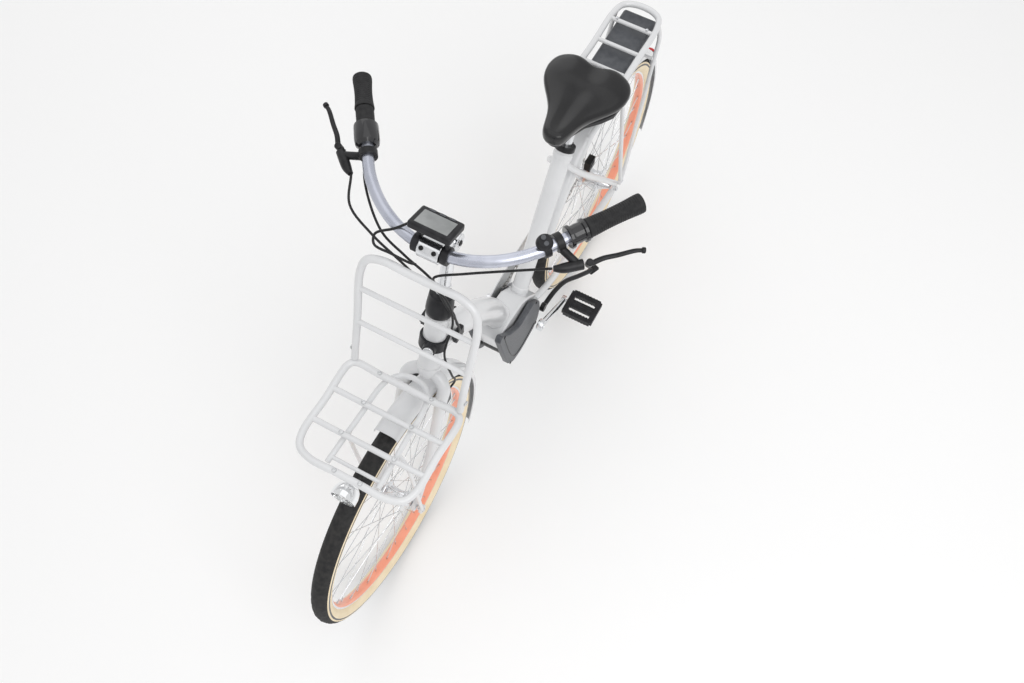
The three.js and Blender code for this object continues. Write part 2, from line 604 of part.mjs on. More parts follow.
const HOSE_RADIUS = 2.5;
const hose = (points, steps) => tube(points, HOSE_RADIUS, steps, 5);
add('front_brake_hose', hose([
  rightBar.at(196, 37), [838, -190, 1070], [868, -125, 1058], [884, -60, 1045], [888, -14, 1018],
  [876, 30, 970], [880, 48, 900], [914, 45, 820], [914, 60, 735], [903, 60, 690], onSteer(-26, 40, 327),
], 22), rubber);
add('rear_brake_hose', hose([
  leftBar.at(196, 37), [828, 120, 1064], [856, 64, 1052], [880, 14, 1036], [871, 12, 985],
  [868, 26, 930], [862, 43, 880], [853, 47, 825], [843, 38, 792],
], 18), rubber);
add('control_cables', join(
  hose([
    rightBar.at(140, 6, -27), rightBar.at(180, 22, -26), [850, -118, 1056], [871, -56, 1046], [877, -8, 1028],
    [865, 8, 980], [861, 20, 930], [853, 34, 880], [845, 36, 830], [830, 32, 792],
  ], 20),
  hose([
    [846, -46, 1124], [862, -74, 1104], [880, -108, 1086], [892, -104, 1072], [890, -70, 1064],
    [883, -36, 1050], [874, -30, 1038],
  ], 11),
), rubber);

export default bicycle;
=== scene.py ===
# The looks of a step-through electric city bicycle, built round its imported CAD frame.
# Metres, in the row's frame: +X forwards, +Y to the rider's left, +Z up, ground at z = 0.
import json
import math

import bmesh
import bpy
from mathutils import Matrix, Vector


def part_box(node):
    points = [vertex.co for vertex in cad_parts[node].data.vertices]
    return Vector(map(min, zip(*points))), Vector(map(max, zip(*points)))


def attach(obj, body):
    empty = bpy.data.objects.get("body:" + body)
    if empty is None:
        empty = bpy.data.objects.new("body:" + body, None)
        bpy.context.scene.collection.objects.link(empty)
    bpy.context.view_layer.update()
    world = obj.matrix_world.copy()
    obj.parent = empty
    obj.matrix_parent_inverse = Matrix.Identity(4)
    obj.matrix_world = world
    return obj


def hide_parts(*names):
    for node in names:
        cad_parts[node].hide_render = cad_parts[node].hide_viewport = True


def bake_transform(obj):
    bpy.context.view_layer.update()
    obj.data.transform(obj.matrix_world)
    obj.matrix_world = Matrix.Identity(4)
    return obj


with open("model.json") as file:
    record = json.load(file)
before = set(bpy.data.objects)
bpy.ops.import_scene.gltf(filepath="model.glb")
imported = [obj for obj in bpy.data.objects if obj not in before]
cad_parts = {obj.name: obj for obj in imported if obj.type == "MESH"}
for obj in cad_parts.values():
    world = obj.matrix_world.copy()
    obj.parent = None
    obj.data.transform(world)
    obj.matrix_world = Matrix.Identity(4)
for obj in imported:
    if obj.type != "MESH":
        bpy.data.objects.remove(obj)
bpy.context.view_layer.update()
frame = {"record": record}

# --- the bicycle's own measures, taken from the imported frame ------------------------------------

MM = 0.001


def middle(node):
    low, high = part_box(node)
    return (low + high) / 2


FRONT_AXLE = middle("front_tyre")
REAR_AXLE = middle("rear_tyre")
JOINTS = {joint["name"]: joint for joint in frame["record"]["behaviour"]["joints"]}
STEER_UP = Vector(JOINTS["steering"]["axis"])
STEER_FORWARD = Vector((STEER_UP.z, 0, -STEER_UP.x))
FORK_OFFSET = 55 * MM
STEER_ORIGIN = FRONT_AXLE - STEER_FORWARD * FORK_OFFSET
ZERO = REAR_AXLE.x


def point(x, y, z):
    """A point measured in millimetres from the ground under the rear axle."""
    return Vector((ZERO + x * MM, y * MM, z * MM))


def steer(x, y, s):
    """A point in the steering's own millimetres: forwards, left, and up the steering axis."""
    return STEER_ORIGIN + STEER_FORWARD * (x * MM) + Vector((0, y * MM, 0)) + STEER_UP * (s * MM)


SEAT_UP = Vector(JOINTS["saddle_height"]["axis"])


def seat_tube(t):
    return point(337.5, 0, 594) + SEAT_UP * (t * MM)


def bar_axes(side):
    origin = point(617, side * 290, 1127)
    u = Vector((0.8217, side * -0.57, -0.09)).normalized()
    v = Vector((0.57, side * 0.8217, -0.35))
    v = (v - u * v.dot(u)).normalized()
    w = u.cross(v) * side
    return origin, u, v, w


def on_bar(side, du, dv=0, dw=0):
    origin, u, v, w = bar_axes(side)
    return origin + (u * du + v * dv + w * dw) * MM


# --- camera and light ---------------------------------------------------------------------------

CAMERA_PLACE = (1.0619, 0.5036, 2.4023)
CAMERA_YAW = 0.434
CAMERA_PITCH = 1.195
CAMERA_ROLL = 0.064
CAMERA_LENS = 30.4
CAMERA_SHIFT = (0.0127, 0.1036)


def add_camera():
    data = bpy.data.cameras.new("camera")
    data.lens = CAMERA_LENS
    data.sensor_width = 36
    data.shift_x, data.shift_y = CAMERA_SHIFT
    camera = bpy.data.objects.new("camera", data)
    bpy.context.scene.collection.objects.link(camera)
    level = math.cos(CAMERA_PITCH)
    ahead = -Vector((level * math.cos(CAMERA_YAW), level * math.sin(CAMERA_YAW), math.sin(CAMERA_PITCH)))
    flat_right = ahead.cross(Vector((0, 0, 1))).normalized()
    flat_up = flat_right.cross(ahead)
    right = flat_right * math.cos(CAMERA_ROLL) + flat_up * math.sin(CAMERA_ROLL)
    up = flat_up * math.cos(CAMERA_ROLL) - flat_right * math.sin(CAMERA_ROLL)
    turn = Matrix((right, up, -ahead)).transposed().to_4x4()
    camera.matrix_world = Matrix.Translation(CAMERA_PLACE) @ turn
    bpy.context.scene.camera = camera


def add_area_light(name, place, target, size, power):
    data = bpy.data.lights.new(name, "AREA")
    data.size = size
    data.energy = power
    light = bpy.data.objects.new(name, data)
    bpy.context.scene.collection.objects.link(light)
    light.location = place
    light.rotation_euler = (Vector(target) - Vector(place)).to_track_quat("-Z", "Y").to_euler()


def add_studio():
    add_area_light("key_light", (1.5, 2.0, 3.6), (0, 0, 0.5), 2.6, 46)
    add_area_light("fill_light", (-2.5, -2.5, 3.0), (0, 0, 0.5), 3.0, 14)
    add_area_light("top_light", (0, 0, 4.5), (0, 0, 0), 4.0, 18)
    world = bpy.data.worlds.new("studio_world")
    world.use_nodes = True
    world.node_tree.nodes["Background"].inputs["Color"].default_value = (1, 1, 1, 1)
    world.node_tree.nodes["Background"].inputs["Strength"].default_value = 0.76
    bpy.context.scene.world = world
    bpy.context.scene.view_settings.view_transform = "Standard"
    bpy.ops.mesh.primitive_plane_add(size=40, location=(0, 0, -0.0005))
    floor = bpy.context.object
    floor.name = "studio_floor"
    floor.data.materials.append(plain_floor())


# --- materials ----------------------------------------------------------------------------------

def plain_floor():
    material = bpy.data.materials.new("floor")
    material.use_nodes = True
    shader = material.node_tree.nodes["Principled BSDF"]
    shader.inputs["Base Color"].default_value = (0.95, 0.95, 0.95, 1)
    shader.inputs["Roughness"].default_value = 0.6
    return material


def surface(name, colour, other, roughness, spread=0.08, scale=40.0, bump=0.05, grain=400.0,
            stretch=(1, 1, 1), kind="noise", **sockets):
    """A procedural material: colour varies between two values, roughness varies, and a fine bump."""
    material = bpy.data.materials.new(name)
    material.use_nodes = True
    nodes = material.node_tree.nodes
    link = material.node_tree.links.new
    shader = nodes["Principled BSDF"]
    place = nodes.new("ShaderNodeTexCoord")
    mapping = nodes.new("ShaderNodeMapping")
    mapping.inputs["Scale"].default_value = stretch
    link(place.outputs["Object"], mapping.inputs["Vector"])
    cloud = nodes.new("ShaderNodeTexNoise")
    cloud.inputs["Scale"].default_value = scale
    cloud.inputs["Detail"].default_value = 4
    link(mapping.outputs["Vector"], cloud.inputs["Vector"])
    ramp = nodes.new("ShaderNodeValToRGB")
    ramp.color_ramp.elements[0].position = 0.35
    ramp.color_ramp.elements[0].color = (*colour, 1)
    ramp.color_ramp.elements[1].position = 0.65
    ramp.color_ramp.elements[1].color = (*other, 1)
    link(cloud.outputs["Fac"], ramp.inputs["Fac"])
    link(ramp.outputs["Color"], shader.inputs["Base Color"])
    rough = nodes.new("ShaderNodeMapRange")
    rough.inputs["To Min"].default_value = max(0.02, roughness - spread)
    rough.inputs["To Max"].default_value = min(1.0, roughness + spread)
    link(cloud.outputs["Fac"], rough.inputs["Value"])
    link(rough.outputs["Result"], shader.inputs["Roughness"])
    if kind == "cells":
        fine = nodes.new("ShaderNodeTexVoronoi")
        height = fine.outputs["Distance"]
    else:
        fine = nodes.new("ShaderNodeTexNoise")
        height = fine.outputs["Fac"]
    fine.inputs["Scale"].default_value = grain
    link(mapping.outputs["Vector"], fine.inputs["Vector"])
    relief = nodes.new("ShaderNodeBump")
    relief.inputs["Strength"].default_value = bump
    relief.inputs["Distance"].default_value = 0.0005
    link(height, relief.inputs["Height"])
    link(relief.outputs["Normal"], shader.inputs["Normal"])
    for socket, value in sockets.items():
        shader.inputs[socket.replace("_", " ")].default_value = value
    return material


PAINT = surface("white_gloss_paint", (0.66, 0.665, 0.675), (0.72, 0.725, 0.735), 0.3, 0.05, 6, 0.03, 900,
                Coat_Weight=0.6, Coat_Roughness=0.08)
BAR_METAL = surface("satin_bar_metal", (0.5, 0.52, 0.6), (0.58, 0.6, 0.68), 0.28, 0.08, 30, 0.06, 1200,
                    Metallic=0.9)
POLISHED = surface("polished_alloy", (0.72, 0.73, 0.75), (0.82, 0.83, 0.85), 0.16, 0.06, 60, 0.04, 1500,
                   Metallic=1.0)
CHROME = surface("chrome_plate", (0.86, 0.87, 0.88), (0.92, 0.93, 0.94), 0.05, 0.02, 20, 0.01, 600,
                 Metallic=1.0)
STEEL = surface("stainless_spoke_steel", (0.6, 0.61, 0.62), (0.7, 0.71, 0.72), 0.25, 0.08, 80, 0.05, 1500,
                Metallic=1.0)
CHAIN_STEEL = surface("oiled_chain_steel", (0.3, 0.29, 0.27), (0.5, 0.49, 0.47), 0.35, 0.12, 160, 0.2,
                      900, Metallic=0.9)
BLACK_PLASTIC = surface("black_moulded_plastic", (0.012, 0.012, 0.014), (0.022, 0.022, 0.025), 0.38, 0.08,
                        60, 0.15, 1600,
                        Specular_IOR_Level=0.28)
GLOSS_BLACK = surface("black_gloss_plastic", (0.008, 0.008, 0.01), (0.014, 0.014, 0.016), 0.14, 0.04, 40,
                      0.03, 900,
                      Coat_Weight=0.5, Coat_Roughness=0.05)
BLACK_METAL = surface("black_painted_alloy", (0.014, 0.014, 0.015), (0.025, 0.025, 0.027), 0.33, 0.08, 90,
                      0.1, 1300,
                      Metallic=0.2, Specular_IOR_Level=0.3)
RUBBER = surface("black_grip_rubber", (0.014, 0.014, 0.015), (0.026, 0.026, 0.027), 0.6, 0.1, 120, 0.25,
                 1800,
                 Specular_IOR_Level=0.28)
SLATE = surface("slate_cover_plastic", (0.062, 0.066, 0.075), (0.085, 0.09, 0.1), 0.42, 0.07, 70, 0.2,
                1500)
VINYL = surface("black_saddle_vinyl", (0.008, 0.008, 0.009), (0.014, 0.014, 0.015), 0.2, 0.05, 18, 0.12,
                700, kind="cells",
                Coat_Weight=0.2, Coat_Roughness=0.15, Specular_IOR_Level=0.35)
TREAD = surface("tyre_tread_rubber", (0.016, 0.016, 0.017), (0.035, 0.034, 0.033), 0.72, 0.1, 90, 0.35,
                1200,
                Specular_IOR_Level=0.28)
CREAM = surface("cream_sidewall", (0.82, 0.68, 0.46), (0.88, 0.75, 0.54), 0.6, 0.08, 25, 0.12, 1500)
STRIPE = surface("grey_sidewall_line", (0.1, 0.1, 0.11), (0.15, 0.15, 0.16), 0.6, 0.05, 40, 0.1, 1200)
CORAL = surface("coral_rim_paint", (0.9, 0.32, 0.2), (0.94, 0.37, 0.24), 0.33, 0.05, 20, 0.03, 900,
                Coat_Weight=0.4, Coat_Roughness=0.1)
HOSE = surface("black_hose_skin", (0.012, 0.012, 0.013), (0.02, 0.02, 0.021), 0.42, 0.05, 200, 0.1, 2500,
               Specular_IOR_Level=0.28)
SCREEN = surface("pale_display_screen", (0.2, 0.21, 0.21), (0.25, 0.26, 0.26), 0.12, 0.03, 30, 0.0, 300,
                 Coat_Weight=1.0, Coat_Roughness=0.03)
RED_LENS = surface("red_lamp_lens", (0.45, 0.01, 0.012), (0.55, 0.015, 0.018), 0.12, 0.04, 30, 0.3, 500,
                   kind="cells")
GLASS = surface("clear_lamp_glass", (0.95, 0.96, 0.97), (1, 1, 1), 0.04, 0.02, 30, 0.2, 300, kind="cells",
                Transmission_Weight=0.85, IOR=1.45)


# --- mesh helpers -------------------------------------------------------------------------------

def smooth_path(points, closed=False, steps=10):
    """A centripetal curve through the points, as a list of points."""
    pts = [Vector(p) for p in points]
    count = len(pts)
    spans = count if closed else count - 1
    result = []
    for i in range(spans):
        p1, p2 = pts[i], pts[(i + 1) % count]
        p0 = pts[i - 1] if closed or i > 0 else p1 * 2 - p2
        p3 = pts[(i + 2) % count] if closed or i + 2 < count else p2 * 2 - p1
        knots = [0.0]
        for a, b in ((p0, p1), (p1, p2), (p2, p3)):
            knots.append(knots[-1] + max((b - a).length, 1e-6) ** 0.5)
        for step in range(steps):
            t = knots[1] + (knots[2] - knots[1]) * step / steps

            def mix(a, b, ta, tb):
                return a * ((tb - t) / (tb - ta)) + b * ((t - ta) / (tb - ta))

            a1 = mix(p0, p1, knots[0], knots[1])
            a2 = mix(p1, p2, knots[1], knots[2])
            a3 = mix(p2, p3, knots[2], knots[3])
            b1 = mix(a1, a2, knots[0], knots[2])
            b2 = mix(a2, a3, knots[1], knots[3])
            result.append(mix(b1, b2, knots[1], knots[2]))
    if not closed:
        result.append(pts[-1])
    return result


def join_rings(mesh, first, second, material=0):
    """Adds the faces between two rings of the same number of corners."""
    for k in range(len(first)):
        n = (k + 1) % len(first)
        mesh.faces.new((first[k], first[n], second[n], second[k])).material_index = material


def add_sweep(mesh, path, wide, high=None, closed=False, sides=20, material=0, taper=None):
    """Adds an oval tube along the path. wide is across the bicycle, high is in the path's own plane."""
    high = high or wide
    count = len(path)
    rings = []
    for i, here in enumerate(path):
        before = path[i - 1] if closed or i > 0 else here
        after = path[(i + 1) % count] if closed or i + 1 < count else here
        along = (after - before).normalized()
        reference = Vector((0, 1, 0)) if abs(along.y) < 0.93 else Vector((1, 0, 0))
        across = (reference - along * reference.dot(along)).normalized()
        other = along.cross(across)
        size = taper(i / (count - 1)) if taper else 1.0
        ring = []
        for k in range(sides):
            angle = 2 * math.pi * k / sides
            offset = across * (wide * math.cos(angle)) + other * (high * math.sin(angle))
            ring.append(mesh.verts.new(here + offset * size * MM))
        if rings:
            turn = min(range(sides),
                       key=lambda s: (ring[s].co - here - (rings[-1][0].co - path[i - 1])).length)
            ring = ring[turn:] + ring[:turn]
        rings.append(ring)
    for first, second in zip(rings, rings[1:]):
        join_rings(mesh, first, second, material)
    if closed:
        first, second = rings[-1], rings[0]
        turn = min(range(sides), key=lambda s: (second[s].co - first[0].co).length)
        join_rings(mesh, first, second[turn:] + second[:turn], material)
    else:
        mesh.faces.new(list(reversed(rings[0]))).material_index = material
        mesh.faces.new(rings[-1]).material_index = material


def add_turned(mesh, profile, origin, axis, sides=48, material=0, loop=False, bands=None):
    """Adds a turned shape: profile points are (radius, distance along the axis) in millimetres."""
    axis = Vector(axis).normalized()
    reference = Vector((1, 0, 0)) if abs(axis.x) < 0.9 else Vector((0, 1, 0))
    across = (reference - axis * reference.dot(axis)).normalized()
    other = axis.cross(across)
    rows = []
    for radius, distance in profile:
        centre = Vector(origin) + axis * (distance * MM)
        if radius < 1e-6:
            rows.append([mesh.verts.new(centre)])
            continue
        rows.append([
            mesh.verts.new(centre + (across * math.cos(a) + other * math.sin(a)) * (radius * MM))
            for a in (2 * math.pi * k / sides for k in range(sides))
        ])
    pairs = list(zip(rows, rows[1:]))
    if loop:
        pairs.append((rows[-1], rows[0]))
    for index, (first, second) in enumerate(pairs):
        slot = bands[index] if bands else material
        for k in range(sides):
            n = (k + 1) % sides
            if len(first) == 1 and len(second) == 1:
                continue
            if len(first) == 1:
                corners = (first[0], second[n], second[k])
            elif len(second) == 1:
                corners = (first[k], first[n], second[0])
            else:
                corners = (first[k], first[n], second[n], second[k])
            mesh.faces.new(corners).material_index = slot


def add_rod(mesh, start, end, radius, end_radius=None, sides=24, edge=1.0, material=0):
    """Adds a round bar with softened ends."""
    start, end = Vector(start), Vector(end)
    length = (end - start).length / MM
    end_radius = radius if end_radius is None else end_radius
    edge = min(edge, radius * 0.5, end_radius * 0.5, length * 0.3)
    profile = [(0, 0), (radius - edge, 0), (radius, edge), (end_radius, length - edge),
               (end_radius - edge, length), (0, length)]
    add_turned(mesh, profile, start, end - start, sides, material)


def band(bore, radius, low, high, edge=1):
    """The profile of a round band with softened rims, as (radius, distance) pairs."""
    return [(bore, low), (radius - edge, low), (radius, low + edge), (radius, high - edge),
            (radius - edge, high), (bore, high)]


def add_prism(mesh, outline, low, high, material=0):
    """Adds a plate: the outline is in x and z millimetres, between two values of y."""
    bottom = [mesh.verts.new(point(x, low, z)) for x, z in outline]
    top = [mesh.verts.new(point(x, high, z)) for x, z in outline]
    count = len(outline)
    mesh.faces.new(bottom).material_index = material
    mesh.faces.new(list(reversed(top))).material_index = material
    for k in range(count):
        n = (k + 1) % count
        mesh.faces.new((bottom[k], top[k], top[n], bottom[n])).material_index = material


def add_box(mesh, centre, size, turn=None, material=0):
    result = bmesh.ops.create_cube(mesh, size=1.0)
    matrix = Matrix.Diagonal((size[0] * MM, size[1] * MM, size[2] * MM, 1))
    matrix = Matrix.Translation(centre) @ (turn or Matrix.Identity(4)) @ matrix
    bmesh.ops.transform(mesh, matrix=matrix, verts=result["verts"])
    for face in {f for v in result["verts"] for f in v.link_faces}:
        face.material_index = material


def mesh_object(name, build, materials):
    """Makes an object from a function that fills a bmesh."""
    mesh = bmesh.new()
    build(mesh)
    bmesh.ops.recalc_face_normals(mesh, faces=mesh.faces)
    data = bpy.data.meshes.new(name)
    mesh.to_mesh(data)
    mesh.free()
    obj = bpy.data.objects.new(name, data)
    bpy.context.scene.collection.objects.link(obj)
    for material in materials:
        data.materials.append(material)
    return obj


def piece(name, build, materials, body, slot, *nodes, bevel=0.0, subdivide=0, angle=35):
    """Makes one piece from a function that fills a bmesh, and says what it rides on and replaces."""
    obj = mesh_object(name, build, materials)
    if bevel:
        modifier = obj.modifiers.new("soft_edges", "BEVEL")
        modifier.width = bevel * MM
        modifier.segments = 3
        modifier.limit_method = "ANGLE"
        modifier.angle_limit = math.radians(30)
    if subdivide:
        modifier = obj.modifiers.new("fine_surface", "SUBSURF")
        modifier.levels = subdivide
        modifier.render_levels = subdivide
    obj.data.shade_smooth()
    if not subdivide:
        obj.data.set_sharp_from_angle(angle=math.radians(angle))
    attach(obj, body)
    if nodes:
        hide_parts(*nodes)
    return obj


def tube(name, points, radius, material, body, slot, *nodes, closed=False, taper=None, sides=20):
    def build(mesh):
        add_sweep(mesh, smooth_path(points, closed), radius, closed=closed, sides=sides, taper=taper)
    return piece(name, build, [material], body, slot, *nodes)


def mirrored(points):
    """Carries a half outline on round the other side of the bicycle."""
    return [(x, y, z) for x, y, z in points] + [(x, -y, z) for x, y, z in reversed(points)]


# --- frame --------------------------------------------------------------------------------------

BRACKET = [(412, 272), (412, 330), (452, 372), (500, 415), (580, 432), (640, 420), (625, 350),
           (600, 300), (560, 300), (470, 300), (450, 262)]
MOTOR = [(430, 268), (446, 248), (475, 240), (530, 232), (575, 244), (604, 280), (602, 322),
         (572, 352), (520, 352), (470, 338), (436, 318)]
COVER = [(430, 300), (434, 262), (456, 232), (530, 222), (584, 234), (618, 276), (640, 352),
         (676, 486), (662, 500), (618, 440), (560, 392), (478, 392), (438, 350)]
GUARD = [(575, 262), (583, 300), (572, 345), (540, 388), (490, 408), (430, 411), (95, 412),
         (78, 404), (80, 372), (380, 352), (398, 300), (420, 258), (475, 236), (530, 240)]
CRANK_CENTRE = (475, 295)


def build_frame(mesh):
    down = [steer(-6, 0, 489), point(800, 0, 724), point(700, 0, 628), point(615, 0, 505),
            point(565, 0, 395)]
    add_sweep(mesh, smooth_path(down, steps=14), 27, 36, sides=32)
    add_rod(mesh, steer(0, 0, 412), steer(0, 0, 566), 25, sides=40)
    add_rod(mesh, seat_tube(-270), seat_tube(162), 22, 23, sides=36)
    for along in (-232, 150):
        add_turned(mesh, [(21.5, -9), (24.2, -6), (24.6, 0), (24.2, 6), (21.5, 9)], seat_tube(along),
                   SEAT_UP)
    for along in (418, 560):
        add_turned(mesh, [(24.5, -5), (26.6, -4), (26.6, 4), (24.5, 5)], steer(0, 0, along), STEER_UP)


def build_bracket(mesh):
    add_prism(mesh, BRACKET, -34, 34)


piece("frame_tubes", build_frame, [PAINT], "frame", "white_paint", "main_frame")
piece("frame_bracket", build_bracket, [PAINT], "frame", "white_paint", "main_frame", bevel=5)

for side, word in ((1, "left"), (-1, "right")):
    chainstay = [point(408, side * 30, 300), point(352, side * 42.5, 308), point(180, side * 58, 330),
                 point(12, side * 70.5, 350)]
    tube(word + "_chainstay_tube", chainstay, 9.5, PAINT, "frame", "white_paint", word + "_chainstay")
    seatstay = [point(277, side * 14, 712), point(262, side * 31, 688), point(226, side * 42, 640),
                point(0, side * 70.5, 372)]
    tube(word + "_seatstay_tube", seatstay, 8.5, PAINT, "frame", "white_paint", word + "_seatstay")

    def build_dropout(mesh, side=side):
        origin = point(0, side * 67.5, 352)
        add_turned(mesh, [(0, 0), (20, 0), (21, 1), (21, 5.5), (20, 6.5), (0, 6.5)], origin, (0, side, 0))

    def build_axle_nut(mesh, side=side):
        origin = point(0, side * 74, 352)
        add_turned(mesh, [(0, 0), (9, 0), (9, 1.6), (7.6, 1.8), (7.6, 7), (6.8, 8), (4.5, 8), (4, 10),
                          (0, 10)],
                   origin, (0, side, 0), sides=6)

    piece(word + "_dropout", build_dropout, [PAINT], "frame", "white_paint", word + "_chainstay")
    piece(word + "_axle_nut", build_axle_nut, [POLISHED], "frame", "silver_metal", word + "_chainstay",
          bevel=0.4)


def rounded(outline, radius):
    """Cuts the corners of a flat outline into short arcs."""
    result = []
    count = len(outline)
    for i, here in enumerate(outline):
        corner = Vector(here)
        before = Vector(outline[i - 1]) - corner
        after = Vector(outline[(i + 1) % count]) - corner
        reach = min(radius, before.length * 0.45, after.length * 0.45)
        start = corner + before.normalized() * reach
        end = corner + after.normalized() * reach
        for step in range(5):
            t = step / 4
            spot = start * (1 - t) ** 2 + corner * (2 * t * (1 - t)) + end * t ** 2
            result.append((spot.x, spot.y))
    return result


def plate(name, outline, low, high, material, slot, body, *nodes, corner=14, bevel=3):
    def build(mesh):
        add_prism(mesh, rounded(outline, corner), low, high)
    return piece(name, build, [material], body, slot, *nodes, bevel=bevel)


plate("motor_shell", MOTOR, -38, 38, BLACK_METAL, "black_metal", "frame", "motor_housing")
plate("motor_cover_left_shell", COVER, 38.8, 56, SLATE, "slate_plastic", "frame", "motor_cover_left",
      bevel=6)
plate("motor_cover_right_shell", COVER, -40, -38.6, SLATE, "slate_plastic", "frame", "motor_cover_right",
      bevel=0.5)
plate("chain_guard_shell", GUARD, -57, -54, PAINT, "white_paint", "frame", "chain_guard", corner=24,
      bevel=1)


def build_cover_line(mesh):
    line = [point(x, 56.4, z) for x, z in ((462, 262), (530, 248), (578, 262), (602, 306), (626, 380),
                                           (650, 470))]
    add_sweep(mesh, smooth_path(line), 1.2, sides=8)
    for x, z in ((452, 250), (604, 262), (462, 372), (650, 478)):
        add_turned(mesh, [(0, 0), (4.5, 0), (4.5, 1.2), (3.8, 2), (2.2, 2), (2.0, 0.8), (0, 0.8)],
                   point(x, 55.6, z), (0, 1, 0), sides=20)


piece("motor_cover_trim", build_cover_line, [BLACK_METAL], "frame", "black_metal", "motor_cover_left")


def build_seat_clamp(mesh):
    add_turned(mesh, [(22.8, 0), (24.4, 0), (25, 1), (25, 13), (24.4, 14), (14.2, 14), (14.2, 11),
                      (22.8, 11)],
               seat_tube(162.5), SEAT_UP, loop=True)
    pinch = seat_tube(169.5) + Vector((-27, 0, -14)) * MM
    add_rod(mesh, pinch + Vector((0, -9, 0)) * MM, pinch + Vector((0, 9, 0)) * MM, 4.5)


piece("seat_clamp_ring", build_seat_clamp, [BLACK_METAL], "frame", "black_metal", "seat_clamp")


def build_port(mesh):
    add_box(mesh, point(838, 33.6, 776), (34, 12, 30))


piece("cable_port_shell", build_port, [BLACK_PLASTIC], "frame", "black_plastic", "cable_port", bevel=3)


def build_head_clamp(mesh):
    add_turned(mesh, band(25.3, 31, 0, 28), steer(0, 0, 478),
               STEER_UP, loop=True)
    add_rod(mesh, steer(27, 6, 492), steer(44, 10, 494), 15, 14)


def build_head_cap(mesh):
    add_rod(mesh, steer(44, 10, 494), steer(46.5, 10.6, 494.3), 11.5, 11)


piece("head_clamp_ring", build_head_clamp, [BLACK_PLASTIC], "frame", "black_plastic", "head_clamp")
piece("head_clamp_cap", build_head_cap, [CHROME], "frame", "silver_metal", "head_clamp")


# --- wheels -------------------------------------------------------------------------------------

def arc_point(centre, radius, angle, y=0.0):
    return centre + Vector((radius * math.cos(angle), y, radius * math.sin(angle))) * MM


TYRE_MIDDLE = 328.5
TYRE_HALF = 23.5
SPOKE_RADIUS = 1.0


def build_tyre(centre):
    def build(mesh):
        sides = 180
        turns = 32
        rows = []
        for k in range(sides):
            angle = 2 * math.pi * k / sides
            row = []
            for j in range(turns):
                around = 2 * math.pi * j / turns
                outward = math.cos(around)
                rib = 1.3 if (k + (1 if math.sin(around) > 0 else 0)) % 3 == 0 and outward > 0.55 else 0.0
                groove = 1.0 if 0.93 < outward < 0.985 else 0.0
                size = TYRE_HALF - rib - groove
                row.append(mesh.verts.new(arc_point(centre, TYRE_MIDDLE + size * outward, angle,
                                                    size * math.sin(around))))
            rows.append(row)
        for k in range(sides):
            for j in range(turns):
                m = (j + 1) % turns
                n = (k + 1) % sides
                outward = math.cos(2 * math.pi * (j + 0.5) / turns)
                face = mesh.faces.new((rows[k][j], rows[k][m], rows[n][m], rows[n][j]))
                face.material_index = 0 if outward > 0.42 else (2 if 0.05 < outward < 0.2 else 1)
    return build


def build_rim(centre):
    profile = [(315, -11), (315.5, -12.5), (304, -12.5), (303, -12), (299, -7), (298.6, 0), (299, 7),
               (303, 12),
               (304, 12.5), (315.5, 12.5), (315, 11), (309, 9), (308, 0), (309, -9)]
    bands = [1, 1, 0, 0, 0, 0, 0, 0, 1, 1, 1, 1, 1, 1]

    def build(mesh):
        add_turned(mesh, profile, centre, (0, 1, 0), sides=144, loop=True, bands=bands)
    return build


def build_hub(centre, half, flange, flange_y, barrel):
    def build(mesh):
        profile = [(0, -half), (6, -half), (9, -half + 2), (9, -half + 5), (barrel * 0.8, -flange_y - 4),
                   (flange - 1, -flange_y - 2), (flange, -flange_y), (flange - 1, -flange_y + 2.5),
                   (barrel, -flange_y + 8),
                   (barrel * 0.9, 0), (barrel, flange_y - 8), (flange - 1, flange_y - 2.5),
                   (flange, flange_y),
                   (flange - 1, flange_y + 2), (barrel * 0.8, flange_y + 4), (9, half - 5), (9, half - 2),
                   (6, half), (0, half)]
        add_turned(mesh, profile, centre, (0, 1, 0), sides=48)
    return build


def build_spokes(centre, flange, flange_y, count=36):
    def build(mesh):
        for k in range(count):
            side = 1 if k % 2 else -1
            lean = 1 if (k // 2) % 2 else -1
            rim_angle = 2 * math.pi * k / count
            hub_angle = rim_angle + lean * math.radians(68)
            start = arc_point(centre, flange - 3, hub_angle, side * flange_y)
            end = arc_point(centre, 299.5, rim_angle, side * 2)
            add_rod(mesh, start, end, SPOKE_RADIUS, sides=8, edge=0.2)
            nipple = end + (start - end).normalized() * (13 * MM)
            add_rod(mesh, nipple, end, 1.8, 2.2, sides=10, edge=0.4)
    return build


for word, centre, half, flange, flange_y, barrel in (("front", FRONT_AXLE, 46, 30, 28, 20),
                                                     ("rear", REAR_AXLE, 62, 38, 26, 28)):
    body = word + "_wheel"
    piece(word + "_tyre_rubber", build_tyre(centre), [TREAD, CREAM, STRIPE], body, "tyre_rubber",
          word + "_tyre")
    piece(word + "_rim_hoop", build_rim(centre), [CORAL, POLISHED], body, "coral_rim", word + "_rim")
    piece(word + "_hub_shell", build_hub(centre, half, flange, flange_y, barrel), [POLISHED], body,
          "silver_metal",
          word + "_hub_spokes")
    piece(word + "_spokes", build_spokes(centre, flange, flange_y), [STEEL], body, "silver_metal",
          word + "_hub_spokes")


# --- mudguards ----------------------------------------------------------------------------------

MUDGUARD_RADIUS = 366
MUDGUARD_SKIN = 1.8
MUDGUARD_HALF_WIDTH = 29
MUDGUARD_CROWN = 3
MUDGUARD_LIP = 18
MUDGUARD_STEPS = 72
MUDGUARD_TURNS = 14


